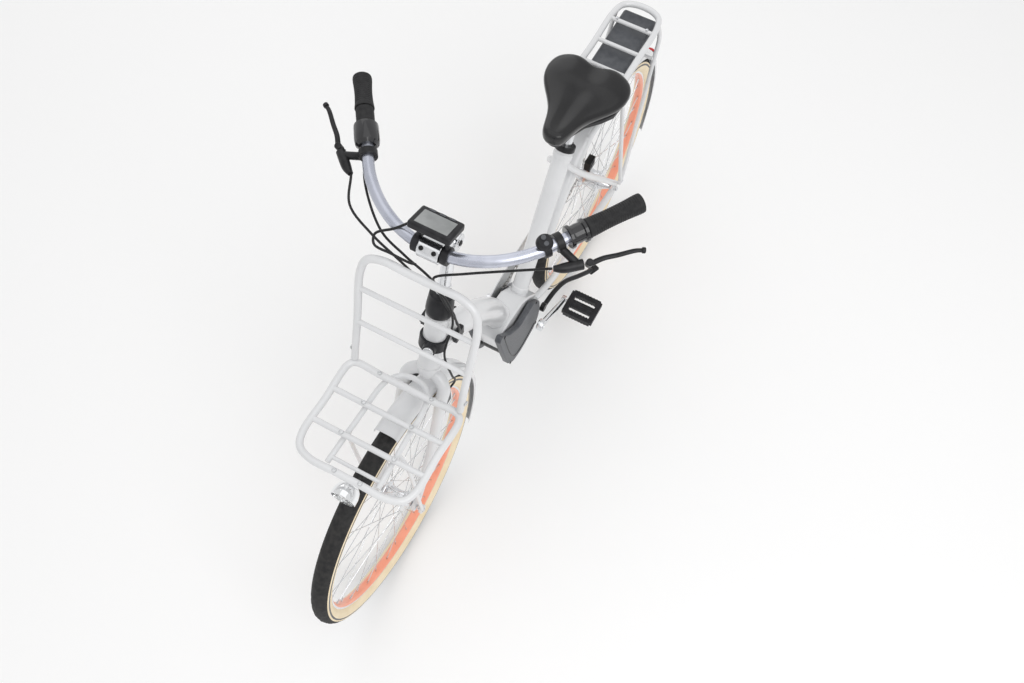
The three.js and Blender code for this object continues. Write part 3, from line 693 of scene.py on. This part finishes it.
def build_mudguard(centre, first, last):
    """A curved guard over a wheel, from the first angle to the last, in degrees round the axle."""
    def spot(mesh, angle, u, radius, half_width):
        drop = MUDGUARD_CROWN - MUDGUARD_LIP * abs(u) ** 3.2
        return mesh.verts.new(arc_point(centre, radius + drop, angle, half_width * math.sin(u * math.pi / 2)))

    def build(mesh):
        across = [j / MUDGUARD_TURNS * 2 - 1 for j in range(MUDGUARD_TURNS + 1)]
        inner_radius = MUDGUARD_RADIUS - MUDGUARD_SKIN
        inner_half = MUDGUARD_HALF_WIDTH - 1.4
        rows = []
        for k in range(MUDGUARD_STEPS + 1):
            angle = math.radians(first + (last - first) * k / MUDGUARD_STEPS)
            outer = [spot(mesh, angle, u, MUDGUARD_RADIUS, MUDGUARD_HALF_WIDTH) for u in across]
            inner = [spot(mesh, angle, u, inner_radius, inner_half) for u in across]
            rows.append(outer + list(reversed(inner)))
        for a, b in zip(rows, rows[1:]):
            join_rings(mesh, a, b)
        mesh.faces.new(rows[0])
        mesh.faces.new(list(reversed(rows[-1])))
    return build


piece("rear_mudguard_shell", build_mudguard(REAR_AXLE, 24, 199.5), [PAINT], "frame", "white_paint",
      "rear_mudguard")
piece("front_mudguard_shell", build_mudguard(FRONT_AXLE, 92.5, 206), [PAINT], "steering", "white_paint",
      "front_mudguard")


# --- rear rack, battery, tail lamp ---------------------------------------------------------------

REAR_LOOP = [(205, 40, 745), (160, 56, 800), (120, 58, 819), (0, 58, 819), (-110, 58, 819),
             (-145, 48, 819), (-160, 22, 819)]


def add_bolt(mesh, place, direction, radius=5.0):
    profile = [(0, 0), (radius, 0), (radius, 1.5), (radius * 0.8, 2.8), (radius * 0.45, 3.0),
               (radius * 0.4, 1.6), (0, 1.6)]
    add_turned(mesh, profile, place, direction, sides=20)


def build_rear_rack(mesh):
    add_sweep(mesh, smooth_path([point(*p) for p in mirrored(REAR_LOOP)]), 7.5)
    for x in (132, 62, -14, -92):
        add_rod(mesh, point(x, -58, 819), point(x, 58, 819), 5)
    for side in (1, -1):
        for leg in ([(78, 60, 817), (62, 64, 730), (14, 84, 440), (2, 86, 396)],
                    [(-128, 56, 818), (-136, 64, 776), (-120, 67, 720), (-20, 84, 430), (-3, 86, 396)]):
            add_sweep(mesh, smooth_path([point(x, side * y, z) for x, y, z in leg]), 5.5)
        add_rod(mesh, point(0, side * 80.5, 392), point(0, side * 90, 392), 12)
        add_sweep(mesh, [point(x, side * 40, 733) for x in (-112, -40, 60, 150)], 3.5)
    for x in (-112, 64):
        add_rod(mesh, point(x, -66, 731), point(x, 66, 731), 4)


def build_rear_rack_bolts(mesh):
    for side in (1, -1):
        add_bolt(mesh, point(0, side * 90, 392), (0, side, 0), 6)
        for x in (132, -92):
            add_bolt(mesh, point(x, side * 40, 823.4), (0, 0, 1), 4)


piece("rear_rack_tubes", build_rear_rack, [PAINT], "frame", "white_paint", "rear_rack")
piece("rear_rack_bolts", build_rear_rack_bolts, [POLISHED], "frame", "silver_metal", "rear_rack")


def build_battery(mesh):
    outline = rounded([(-158, 739), (158, 739), (160, 790), (152, 803.5), (-154, 803.5), (-160, 788)], 12)
    add_prism(mesh, outline, -45.5, 45.5)


def build_battery_trim(mesh):
    for side in (1, -1):
        for z in (758, 780):
            add_sweep(mesh, [point(x, side * 45.6, z) for x in (-140, 0, 140)], 1.1, sides=8)
    add_turned(mesh, [(0, 0), (10, 0), (10, 1.5), (8.5, 2.4), (5, 2.4), (4.4, 1.2), (0, 1.2)],
               point(118, 45, 769), (0, 1, 0))
    add_box(mesh, point(-160.5, 0, 771), (3, 46, 16))


piece("battery_case", build_battery, [SLATE], "battery", "slate_plastic", "battery", bevel=7)
piece("battery_trim", build_battery_trim, [BLACK_METAL], "battery", "black_metal", "battery")

TAIL_ANGLE = math.radians(150)
TAIL_WAY = Vector((math.cos(TAIL_ANGLE), 0, math.sin(TAIL_ANGLE)))


def build_tail_body(mesh):
    add_turned(mesh, [(0, 0), (17, 0), (18, 1.2), (18, 7), (16.6, 8.2), (0, 8.2)],
               REAR_AXLE + TAIL_WAY * 370.5 * MM, TAIL_WAY)


def build_tail_lens(mesh):
    profile = [(0, 8.3), (16.4, 8.3), (16, 11), (13.5, 14.5), (8, 17), (0, 17.5)]
    add_turned(mesh, profile, REAR_AXLE + TAIL_WAY * 370.5 * MM, TAIL_WAY)


piece("tail_lamp_body", build_tail_body, [BLACK_PLASTIC], "frame", "black_plastic", "tail_lamp")
piece("tail_lamp_lens", build_tail_lens, [RED_LENS], "frame", "red_lens", "tail_lamp")


# --- saddle and seatpost ------------------------------------------------------------------------

SADDLE_HALF = [(356, 0), (354, 12), (338, 24), (300, 33), (262, 50), (226, 82), (195, 102), (160, 106),
               (130, 93),
               (116, 66), (120, 32), (128, 0)]


def saddle_width(x):
    widths = [(116, 66), (124, 88), (140, 100), (165, 106), (195, 101), (226, 82), (262, 52), (300, 38),
              (335, 31), (350, 22), (357, 8)]
    for (x0, w0), (x1, w1) in zip(widths, widths[1:]):
        if x <= x1:
            share = (x - x0) / (x1 - x0)
            return w0 + (w1 - w0) * share
    return 3


def build_saddle(mesh):
    stations = [116, 119, 126, 140, 160, 180, 200, 222, 245, 270, 295, 320, 338, 349, 356]
    turns = 28
    rows = []
    for index, x in enumerate(stations):
        width = saddle_width(x)
        lobes = max(0.0, 1 - (x - 116) / 90)
        if x > 180:
            dip = max(0.0, math.sin((x - 180) / 176 * math.pi))
            crown = 884 + 4 * lobes - 5 * dip
        else:
            crown = 886 + 3 * lobes
        end = min(1.0, (index + 0.6) / 3.0, (len(stations) - index - 0.4) / 2.2)
        rise = (crown - 864) * math.sqrt(end)
        drop = 25 * math.sqrt(end)
        row = []
        for k in range(turns):
            angle = 2 * math.pi * k / turns
            side, up = math.cos(angle), math.sin(angle)
            y = width * math.copysign(abs(side) ** 0.8, side)
            groove = 5.5 * math.exp(-(y / 15) ** 2) * (1 if 135 < x < 330 else 0.4) if up > 0 else 0
            cheek = 5 * lobes * math.exp(-((abs(y) - 52) / 26) ** 2) if up > 0 else 0
            z = 864 + (rise if up > 0 else drop) * math.copysign(abs(up) ** 0.72,
                                                                 up) - groove * up + cheek * up
            notch = 13 * lobes * math.exp(-(y / 24) ** 2) if index < 5 else 0
            row.append(mesh.verts.new(point(x + notch, y, z)))
        rows.append(row)
    for a, b in zip(rows, rows[1:]):
        join_rings(mesh, a, b)
    mesh.faces.new(rows[0])
    mesh.faces.new(list(reversed(rows[-1])))


saddle = piece("saddle_padding", build_saddle, [VINYL], "seatpost", "saddle_vinyl", "saddle_cushion",
               subdivide=2)


def build_saddle_base(mesh):
    half = [(232 + (x - 232) * 0.88, y * 0.86) for x, y in SADDLE_HALF]
    outline = half + [(x, -y) for x, y in reversed(half[1:-1])]
    low = [mesh.verts.new(point(x, y, 828)) for x, y in outline]
    high = [mesh.verts.new(point(x, y, 842)) for x, y in outline]
    mesh.faces.new(low)
    mesh.faces.new(list(reversed(high)))
    join_rings(mesh, low, high)


def build_rails(mesh):
    for side in (1, -1):
        rail = [(150, 22, 831), (160, 22, 825), (176, 22, 819), (220, 22, 819), (262, 22, 819),
                (300, 17, 824), (320, 13, 831)]
        add_sweep(mesh, smooth_path([point(x, side * y, z) for x, y, z in rail]), 3.5)


def build_seatpost(mesh):
    add_rod(mesh, seat_tube(-40), seat_tube(238), 13.6, sides=32)


def build_post_clamp(mesh):
    add_box(mesh, point(222, 0, 807.5), (46, 54, 8))
    add_rod(mesh, point(222, -24, 800), point(222, 24, 800), 9)


piece("saddle_shell", build_saddle_base, [BLACK_PLASTIC], "seatpost", "black_plastic", "saddle_base",
      bevel=3)
piece("saddle_rails", build_rails, [STEEL], "seatpost", "silver_metal", "saddle_base")
piece("seatpost_tube", build_seatpost, [POLISHED], "seatpost", "silver_metal", "seatpost")
piece("seatpost_clamp", build_post_clamp, [POLISHED], "seatpost", "silver_metal", "seatpost", bevel=2.5)


# --- cranks, chain, pedals, kickstand ------------------------------------------------------------

CRANK_TURN = math.radians(28)
FOOT_LEFT = (324.9, 215.2)
FOOT_RIGHT = (625.1, 374.8)


def build_crank(side, foot):
    def build(mesh):
        start = point(CRANK_CENTRE[0], side * 83, CRANK_CENTRE[1])
        end = point(foot[0], side * 87, foot[1])
        add_sweep(mesh, smooth_path([start, start.lerp(end, 0.5), end]), 7, 12,
                  taper=lambda t: 1.12 - 0.22 * t)
        centre = point(CRANK_CENTRE[0], side * 74.2, CRANK_CENTRE[1])
        profile = [(0, 0), (16, 0), (17, 1.2), (17, 14), (15.5, 16.5), (10, 16.5), (9.5, 15), (0, 15)]
        add_turned(mesh, profile, centre, (0, side, 0))
        add_rod(mesh, point(foot[0], side * 80, foot[1]), point(foot[0], side * 92, foot[1]), 12.5,
                sides=32)
    return build


def build_chainring(mesh):
    sides = 44
    centre = point(CRANK_CENTRE[0], 0, CRANK_CENTRE[1])
    profile = [(60, -46), (71, -46), (71, -42), (60, -42)]
    add_turned(mesh, profile, centre, (0, 1, 0), sides=sides * 2, loop=True)
    for k in range(5):
        angle = 2 * math.pi * k / 5 + CRANK_TURN
        add_rod(mesh, arc_point(centre, 14, angle, -44), arc_point(centre, 62, angle, -44), 3.6)
    add_rod(mesh, centre + Vector((0, -74.2, 0)) * MM, centre + Vector((0, -40.5, 0)) * MM, 14)


piece("crank_arm_left", build_crank(1, FOOT_LEFT), [POLISHED], "crankset", "silver_metal", "crank_left")
piece("crank_arm_right", build_crank(-1, FOOT_RIGHT), [POLISHED], "crankset", "silver_metal",
      "crank_right")
piece("chainring", build_chainring, [POLISHED], "crankset", "silver_metal", "crank_right")


def chain_path():
    large, small = 77, 38.6
    big, little = Vector((475, 295)), Vector((0, 352))
    gap = big - little
    base = math.atan2(gap.y, gap.x)
    spread = math.acos((large - small) / gap.length)
    spots = []
    for step in range(41):
        angle = base - (math.pi - spread) + 2 * (math.pi - spread) * step / 40
        spots.append(big + Vector((math.cos(angle), math.sin(angle))) * large)
    for step in range(21):
        angle = base + (math.pi - spread) + 2 * spread * step / 20
        spots.append(little + Vector((math.cos(angle), math.sin(angle))) * small)
    return spots


def build_chain(mesh):
    spots = chain_path()
    lengths = [(spots[(i + 1) % len(spots)] - spots[i]).length for i in range(len(spots))]
    total = sum(lengths)
    links = round(total / 12.7)
    places = []
    index, run = 0, 0.0
    for k in range(links):
        goal = total * k / links
        while run + lengths[index] < goal:
            run += lengths[index]
            index += 1
        share = (goal - run) / lengths[index]
        places.append(spots[index].lerp(spots[(index + 1) % len(spots)], share))
    for k, here in enumerate(places):
        there = places[(k + 1) % links]
        offset = 1.6 if k % 2 else 2.7
        for y in (-44 - offset, -44 + offset):
            add_sweep(mesh, [point(here.x, y, here.y), point(there.x, y, there.y)], 0.5, 3.6, sides=8)
        add_rod(mesh, point(here.x, -47.2, here.y), point(here.x, -40.8, here.y), 2.4, sides=10, edge=0.3)


piece("chain_links", build_chain, [CHAIN_STEEL], "frame", "black_metal", "chain")


def build_pedal(side, foot):
    def build(mesh):
        x, z = foot
        for y in (105, 186):
            add_box(mesh, point(x, side * y, z), (74, 15, 17))
        for dx in (-34.5, 34.5):
            add_box(mesh, point(x + dx, side * 145.5, z), (14, 84, 18))
            for k in range(7):
                add_box(mesh, point(x + dx, side * (116 + k * 9.6), z), (15.5, 3.5, 19.6))
        add_box(mesh, point(x, side * 145.5, z), (25, 84, 12))
        add_rod(mesh, point(x, side * 97, z), point(x, side * 193, z), 8.5)
    return build


def build_pedal_axle(side, foot):
    def build(mesh):
        add_rod(mesh, point(foot[0], side * 94.5, foot[1]), point(foot[0], side * 104, foot[1]), 5.5)
    return build


for side, word, foot in ((1, "left", FOOT_LEFT), (-1, "right", FOOT_RIGHT)):
    body = "pedal_" + word
    piece(body + "_platform", build_pedal(side, foot), [BLACK_PLASTIC], body, "black_plastic", body,
          bevel=1.2)
    piece(body + "_axle", build_pedal_axle(side, foot), [POLISHED], body, "silver_metal", body)


def build_kickstand(mesh):
    leg = [(400, 55, 265), (330, 59, 254), (285, 68, 243), (235, 90, 221), (182, 110, 195)]
    add_sweep(mesh, smooth_path([point(*p) for p in leg]), 7)
    add_rod(mesh, point(405, 48.8, 266), point(405, 62, 266), 13)


def build_kickstand_foot(mesh):
    add_box(mesh, point(176, 112, 193), (33, 21, 11), Matrix.Rotation(math.radians(-22), 4, "Z"))


piece("kickstand_leg", build_kickstand, [BLACK_METAL], "kickstand", "black_metal", "kickstand")
piece("kickstand_foot", build_kickstand_foot, [RUBBER], "kickstand", "black_rubber", "kickstand", bevel=4)


# --- fork, stem and handlebar --------------------------------------------------------------------

def build_fork(mesh):
    add_rod(mesh, steer(0, 0, 384), steer(0, 0, 565), 14)
    add_turned(mesh, [(14, 396), (22, 396), (23, 397.5), (23, 410), (22, 411.4), (14, 411.4)],
               steer(0, 0, 0), STEER_UP)
    crown = [(10, 48, 344), (4, 46, 374), (0, 26, 394)]
    hoop = crown + [(0, 0, 398)] + [(x, -y, s) for x, y, s in reversed(crown)]
    add_sweep(mesh, smooth_path([steer(*p) for p in hoop]), 14.5, sides=28)
    for side in (1, -1):
        blade = [(9, side * 47.7, 352), (12, side * 50, 240), (26, side * 53, 120), (53, side * 56, 12)]
        add_sweep(mesh, smooth_path([steer(*p) for p in blade], steps=14), 14.5, sides=28,
                  taper=lambda t: 1 - 0.41 * t)
        origin = point(1110, side * 49.2, 352)
        add_turned(mesh, [(0, 0), (14, 0), (15, 1), (15, 8.6), (14, 9.6), (0, 9.6)], origin, (0, side, 0))


def build_fork_nuts(mesh):
    for side in (1, -1):
        profile = [(0, 0), (9, 0), (9, 1.6), (7.6, 1.8), (7.6, 7), (6.6, 8.4), (0, 8.8)]
        add_turned(mesh, profile, point(1110, side * 59, 352), (0, side, 0), sides=6)


piece("fork_tubes", build_fork, [PAINT], "steering", "white_paint", "fork")
piece("fork_axle_nuts", build_fork_nuts, [POLISHED], "steering", "silver_metal", "fork", bevel=0.4)


def build_headset(mesh):
    profile = [(14.7, 567), (26, 567), (27, 568), (29, 577), (28.6, 590), (26, 618), (20, 622),
               (14.7, 622)]
    add_turned(mesh, profile, steer(0, 0, 0), STEER_UP, loop=True)


def build_stem(mesh):
    add_rod(mesh, steer(0, 0, 566.8), steer(0, 0, 744), 13, sides=32)
    knuckle = steer(0, 0, 750)
    add_turned(mesh, [(0, -17), (17, -17), (18, -15.8), (18, 15.8), (17, 17), (9, 17), (8, 15), (0, 15)],
               knuckle, (0, 1, 0))
    add_rod(mesh, knuckle, point(862, 0, 1090), 14, 13, sides=32)
    add_turned(mesh, [(11.9, -22), (19, -22), (20, -20.8), (20, 20.8), (19, 22), (11.9, 22)],
               point(862, 0, 1090), (0, 1, 0),
               loop=True)
    for s in (622, 640):
        add_turned(mesh, [(13, -2.5), (15.2, -2), (15.2, 2), (13, 2.5)], steer(0, 0, s), STEER_UP)


def build_stem_bolts(mesh):
    for y in (-13, 13):
        add_bolt(mesh, point(876, y, 1104.5), (0.7, 0, 0.7), 4.5)
    add_bolt(mesh, steer(0, 17.2, 750), (0, 1, 0), 6)


piece("headset_cover_shell", build_headset, [BLACK_PLASTIC], "steering", "black_plastic", "headset_cover")
piece("stem_body", build_stem, [POLISHED], "steering", "silver_metal", "stem")
piece("stem_bolts", build_stem_bolts, [BLACK_METAL], "steering", "black_metal", "stem")

BAR_RADIUS = 11.5
BAR_BORE = 11.8
BAR_HALF = [on_bar(1, 0), on_bar(1, 70), on_bar(1, 140), on_bar(1, 205), point(822, 132, 1102),
            point(846, 88, 1096),
            point(858, 45, 1091.5), point(862, 0, 1090)]
BAR_WHOLE = BAR_HALF + [Vector((p.x, -p.y, p.z)) for p in reversed(BAR_HALF[:-1])]
tube("handlebar_tube", BAR_WHOLE, BAR_RADIUS, BAR_METAL, "steering", "silver_metal", "handlebar", sides=32)


def bar_way(side):
    return bar_axes(side)[1]


def build_grip(side, end):
    def build(mesh):
        profile = [(0, -5), (15.5, -5), (18, -3.6), (18.6, 0)]
        u = 3.0
        while u < end - 6:
            share = u / end
            radius = 18.5 - 2.0 * math.sin(share * math.pi) + (0.45 if len(profile) % 2 else -0.3)
            profile.append((radius, u))
            u += 2.2
        profile += [(18.6, end - 4), (19, end - 1.5), (18, end), (11.8, end)]
        add_turned(mesh, profile, on_bar(side, 0), bar_way(side), sides=40)
    return build


piece("grip_left_rubber", build_grip(1, 108), [RUBBER], "steering", "black_rubber", "grip_left")
piece("grip_right_rubber", build_grip(-1, 66), [RUBBER], "steering", "black_rubber", "grip_right")


def build_bell(mesh):
    profile = [(12, 109), (20, 109), (22, 110.5), (22, 116), (18.4, 117.5), (17.8, 121), (18.4, 127),
               (17.8, 133), (18.4, 138),
               (22, 139.5), (22, 144.5), (20, 146), (12, 146)]
    add_turned(mesh, profile, on_bar(1, 0), bar_way(1), loop=True)


def build_sleeve(mesh):
    profile = [(12, 67), (16.6, 67)]
    for k in range(13):
        profile.append((17.6 if k % 2 else 16.9, 69 + k * 2.5))
    profile += [(16.6, 101), (12, 101)]
    add_turned(mesh, profile, on_bar(-1, 0), bar_way(-1), loop=True)


def build_shifter(mesh):
    profile = [(12, 102), (21, 102), (23.4, 104), (24, 108), (24, 136), (22.5, 143), (17, 148), (12, 148)]
    add_turned(mesh, profile, on_bar(-1, 0), bar_way(-1), loop=True)


piece("bell_ring_shell", build_bell, [GLOSS_BLACK], "bell_ring", "black_plastic", "bell_ring")
piece("shift_sleeve_rubber", build_sleeve, [RUBBER], "shift_sleeve", "black_rubber", "shift_sleeve")
piece("shifter_housing_shell", build_shifter, [GLOSS_BLACK], "steering", "black_plastic",
      "shifter_housing")


def build_brake_body(side):
    def build(mesh):
        ring = band(BAR_BORE, 18, 157, 171)
        add_turned(mesh, ring, on_bar(side, 0), bar_way(side), loop=True)
        add_rod(mesh, on_bar(side, 164, 14), on_bar(side, 152, 46), 7.5)
        path = [on_bar(side, 194, 38), on_bar(side, 180, 44), on_bar(side, 142, 54)]
        add_sweep(mesh, smooth_path(path), 10, taper=lambda t: 0.52 + 0.46 * min(1, t * 1.6))
    return build


def build_lever(side):
    def build(mesh):
        line = [(128, 59), (104, 60), (78, 66), (44, 73), (30, 79)]
        path = smooth_path([on_bar(side, u, v) for u, v in line])
        add_sweep(mesh, path, 4.8, 3.6, sides=20, taper=lambda t: 1.1 - 0.25 * t)
        add_rod(mesh, on_bar(side, 131, 57, -8), on_bar(side, 131, 57, 8), 7)
        add_rod(mesh, on_bar(side, 34, 77), on_bar(side, 28, 80), 5.6)
    return build


for side, word in ((1, "left"), (-1, "right")):
    piece("brake_body_" + word + "_shell", build_brake_body(side), [BLACK_METAL], "steering",
          "black_metal",
          "brake_body_" + word)
    piece("brake_lever_" + word + "_blade", build_lever(side), [BLACK_METAL], "brake_lever_" + word,
          "black_metal",
          "brake_lever_" + word)


def build_remote(mesh):
    add_turned(mesh, band(BAR_BORE, 17, 184, 197), on_bar(1, 0),
               bar_way(1), loop=True)
    add_rod(mesh, on_bar(1, 192, -6, 15), on_bar(1, 192, -8, 28), 16, 14, edge=2.5)


def build_remote_buttons(mesh):
    for dv in (-14, -2):
        add_rod(mesh, on_bar(1, 192, dv, 27.6), on_bar(1, 192, dv, 29.6), 4.6)


piece("remote_body", build_remote, [BLACK_PLASTIC], "steering", "black_plastic", "remote_control")
piece("remote_buttons", build_remote_buttons, [SLATE], "steering", "black_plastic", "remote_control")

DISPLAY_TURN = Matrix.Rotation(math.radians(-18), 4, "Y")
DISPLAY_CENTRE = point(842, 0, 1138)


def on_display(x, y, z):
    return DISPLAY_CENTRE + (DISPLAY_TURN @ Vector((x * MM, y * MM, z * MM)))


def build_display(mesh):
    add_box(mesh, DISPLAY_CENTRE, (58, 86, 15), DISPLAY_TURN)


def build_display_mount(mesh):
    for side in (1, -1):
        ring = band(BAR_BORE, 18, -7, 7)
        add_turned(mesh, ring, point(860, side * 30, 1090.5), (0, 1, 0), loop=True)
        add_rod(mesh, point(857, side * 30, 1106), point(847, side * 26, 1130), 4.5)


def build_screen(mesh):
    add_box(mesh, on_display(2, 0, 7.8), (40, 66, 1.2), DISPLAY_TURN)


def build_display_keys(mesh):
    for y in (-20, 0, 20):
        add_box(mesh, on_display(-23.5, y, 7.9), (5, 12, 1.6), DISPLAY_TURN)


piece("display_case", build_display, [BLACK_PLASTIC], "steering", "black_plastic", "display", bevel=4)
piece("display_mount", build_display_mount, [BLACK_PLASTIC], "steering", "black_plastic", "display")
piece("display_screen", build_screen, [SCREEN], "steering", "black_plastic", "display", bevel=0.5)
piece("display_keys", build_display_keys, [SLATE], "steering", "black_plastic", "display", bevel=0.6)


# --- front rack ---------------------------------------------------------------------------------

PLATFORM = [(1000, 60), (1000, 122), (1012, 133), (1100, 133), (1188, 133), (1216, 120), (1228, 90),
            (1228, 30)]
BACK = [(995, 126, 781), (958, 126, 890), (920, 126, 1005), (909, 114, 1037), (904, 84, 1050),
        (904, 30, 1050)]
ARCH = [(1214, 60, 755), (1100, 56, 755), (1005, 50, 755), (974, 30, 753), (966, 8, 751)]


def build_platform(mesh):
    half = [(x, y, 771) for x, y in PLATFORM]
    add_sweep(mesh, smooth_path([point(*p) for p in mirrored(half)], closed=True), 8, closed=True,
              sides=24)
    for x in (1073, 1151):
        add_rod(mesh, point(x, -133, 771), point(x, 133, 771), 6.5)


def build_back(mesh):
    add_sweep(mesh, smooth_path([point(*p) for p in mirrored(BACK)]), 8, sides=24)
    for x, z in ((962, 885), (933, 966)):
        add_rod(mesh, point(x, -126, z), point(x, 126, z), 5.5)


def build_support(mesh):
    add_sweep(mesh, smooth_path([point(*p) for p in mirrored(ARCH)]), 6)
    for side in (1, -1):
        leg = [(1130, 57, 754), (1128, 70, 700), (1112, 75, 358)]
        add_sweep(mesh, smooth_path([point(x, side * y, z) for x, y, z in leg]), 5)
        add_rod(mesh, point(1110, side * 69.5, 352), point(1110, side * 78, 352), 12)
    add_rod(mesh, point(1200, -60, 755), point(1200, 60, 755), 4.5)
    add_rod(mesh, point(1240, 0, 745), point(1236, 0, 758), 4.5)


def build_rack_bolts(mesh):
    for side in (1, -1):
        for x, y, z in ((1151, 62, 777.6), (1073, 57, 777.6), (1228, 30, 779), (1000, 62, 779)):
            add_bolt(mesh, point(x, side * y, z), (0, 0, 1), 5)
        add_bolt(mesh, point(985, side * 134, 806), (0, side, 0), 6)
        add_bolt(mesh, point(1110, side * 78, 352), (0, side, 0), 6)


piece("front_rack_platform_tubes", build_platform, [PAINT], "steering", "white_paint",
      "front_rack_platform")
piece("front_rack_back_tubes", build_back, [PAINT], "steering", "white_paint", "front_rack_back")
piece("front_rack_support_tubes", build_support, [PAINT], "steering", "white_paint", "rack_support")
piece("front_rack_bolts", build_rack_bolts, [STEEL], "steering", "silver_metal", "front_rack_platform")


# --- lamp, brakes and hoses ---------------------------------------------------------------------

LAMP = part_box("headlamp")
LAMP_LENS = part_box("headlamp_lens")


def build_lamp(mesh):
    back, front = LAMP[0].x / MM, LAMP[1].x / MM
    depth = front - back
    profile = [(0, 0), (9, 0.5), (18, depth * 0.12), (25, depth * 0.34), (28.4, depth * 0.62),
               (29, depth * 0.8),
               (29, depth - 1), (28, depth), (26.2, depth), (26, depth - 5), (18, depth - 14),
               (8, depth - 22),
               (0, depth - 24)]
    add_turned(mesh, profile, Vector((LAMP[0].x, 0, middle("headlamp_lens").z)), (1, 0, 0), sides=64)


def build_lamp_glass(mesh):
    depth = (LAMP_LENS[1].x - LAMP_LENS[0].x) / MM
    profile = [(0, depth - 3.2), (12, depth - 4), (25, -0.2), (25.4, 0.4), (25.2, 1.2), (20, depth - 2.4),
               (12, depth - 0.8),
               (0, depth)]
    add_turned(mesh, profile, Vector((LAMP_LENS[0].x, 0, middle("headlamp_lens").z)), (1, 0, 0), sides=64)


piece("headlamp_shell", build_lamp, [CHROME], "steering", "silver_metal", "headlamp")
piece("headlamp_glass", build_lamp_glass, [GLASS], "steering", "lamp_glass", "headlamp_lens")


def brake_block(node, body):
    low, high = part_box(node)
    centre = (low + high) / 2
    size = (high - low) / MM

    def build(mesh):
        add_box(mesh, centre, (size.x * 0.92, size.y * 0.8, size.z * 0.96))
        side = 1 if centre.y > 0 else -1
        add_rod(mesh, centre - Vector((0, side * size.y * 0.44, 0)) * MM,
                centre + Vector((0, side * size.y * 0.48, 0)) * MM,
                min(size.x, size.z) * 0.34)
    return piece(node + "_caliper", build, [BLACK_METAL], body, "black_metal", node, bevel=4)


for word in ("left", "right"):
    brake_block("front_brake_" + word, "steering")
    brake_block("rear_brake_" + word, "frame")


FRONT_HOSE = [on_bar(-1, 196, 37), point(838, -190, 1070), point(868, -125, 1058), point(884, -60, 1045),
              point(888, -14, 1018), point(876, 30, 970), point(880, 48, 900), point(914, 45, 820),
              point(914, 60, 735),
              point(903, 60, 690), steer(-26, 40, 327)]
REAR_HOSE = [on_bar(1, 196, 37), point(828, 120, 1064), point(856, 64, 1052), point(880, 14, 1036),
             point(871, 12, 985),
             point(868, 26, 930), point(862, 43, 880), point(853, 47, 825), point(843, 38, 792)]
SHIFT_CABLE = [on_bar(-1, 140, 6, -27), on_bar(-1, 180, 22, -26), point(850, -118, 1056),
               point(871, -56, 1046),
               point(877, -8, 1028), point(865, 8, 980), point(861, 20, 930), point(853, 34, 880),
               point(845, 36, 830),
               point(830, 32, 792)]
DISPLAY_CABLE = [point(846, -46, 1124), point(862, -74, 1104), point(880, -108, 1086),
                 point(892, -104, 1072),
                 point(890, -70, 1064), point(883, -36, 1050), point(874, -30, 1038)]


def loose_cable(name, node, paths):
    """A cable that runs from the turning handlebar down to the frame, swept along a fixed curved path and
    attached to no body.
    """
    def build(mesh):
        for path in paths:
            add_sweep(mesh, smooth_path(path, steps=16), 2.5, sides=12)

    obj = mesh_object(name, build, [HOSE])
    obj.data.shade_smooth()
    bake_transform(obj)
    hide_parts(node)


tube("front_brake_hose_tube", FRONT_HOSE, 2.5, HOSE, "steering", "black_rubber", "front_brake_hose",
     sides=12)
loose_cable("rear_brake_hose_tube", "rear_brake_hose", [REAR_HOSE])
loose_cable("control_cable_tubes", "control_cables", [SHIFT_CABLE, DISPLAY_CABLE])

add_studio()
add_camera()
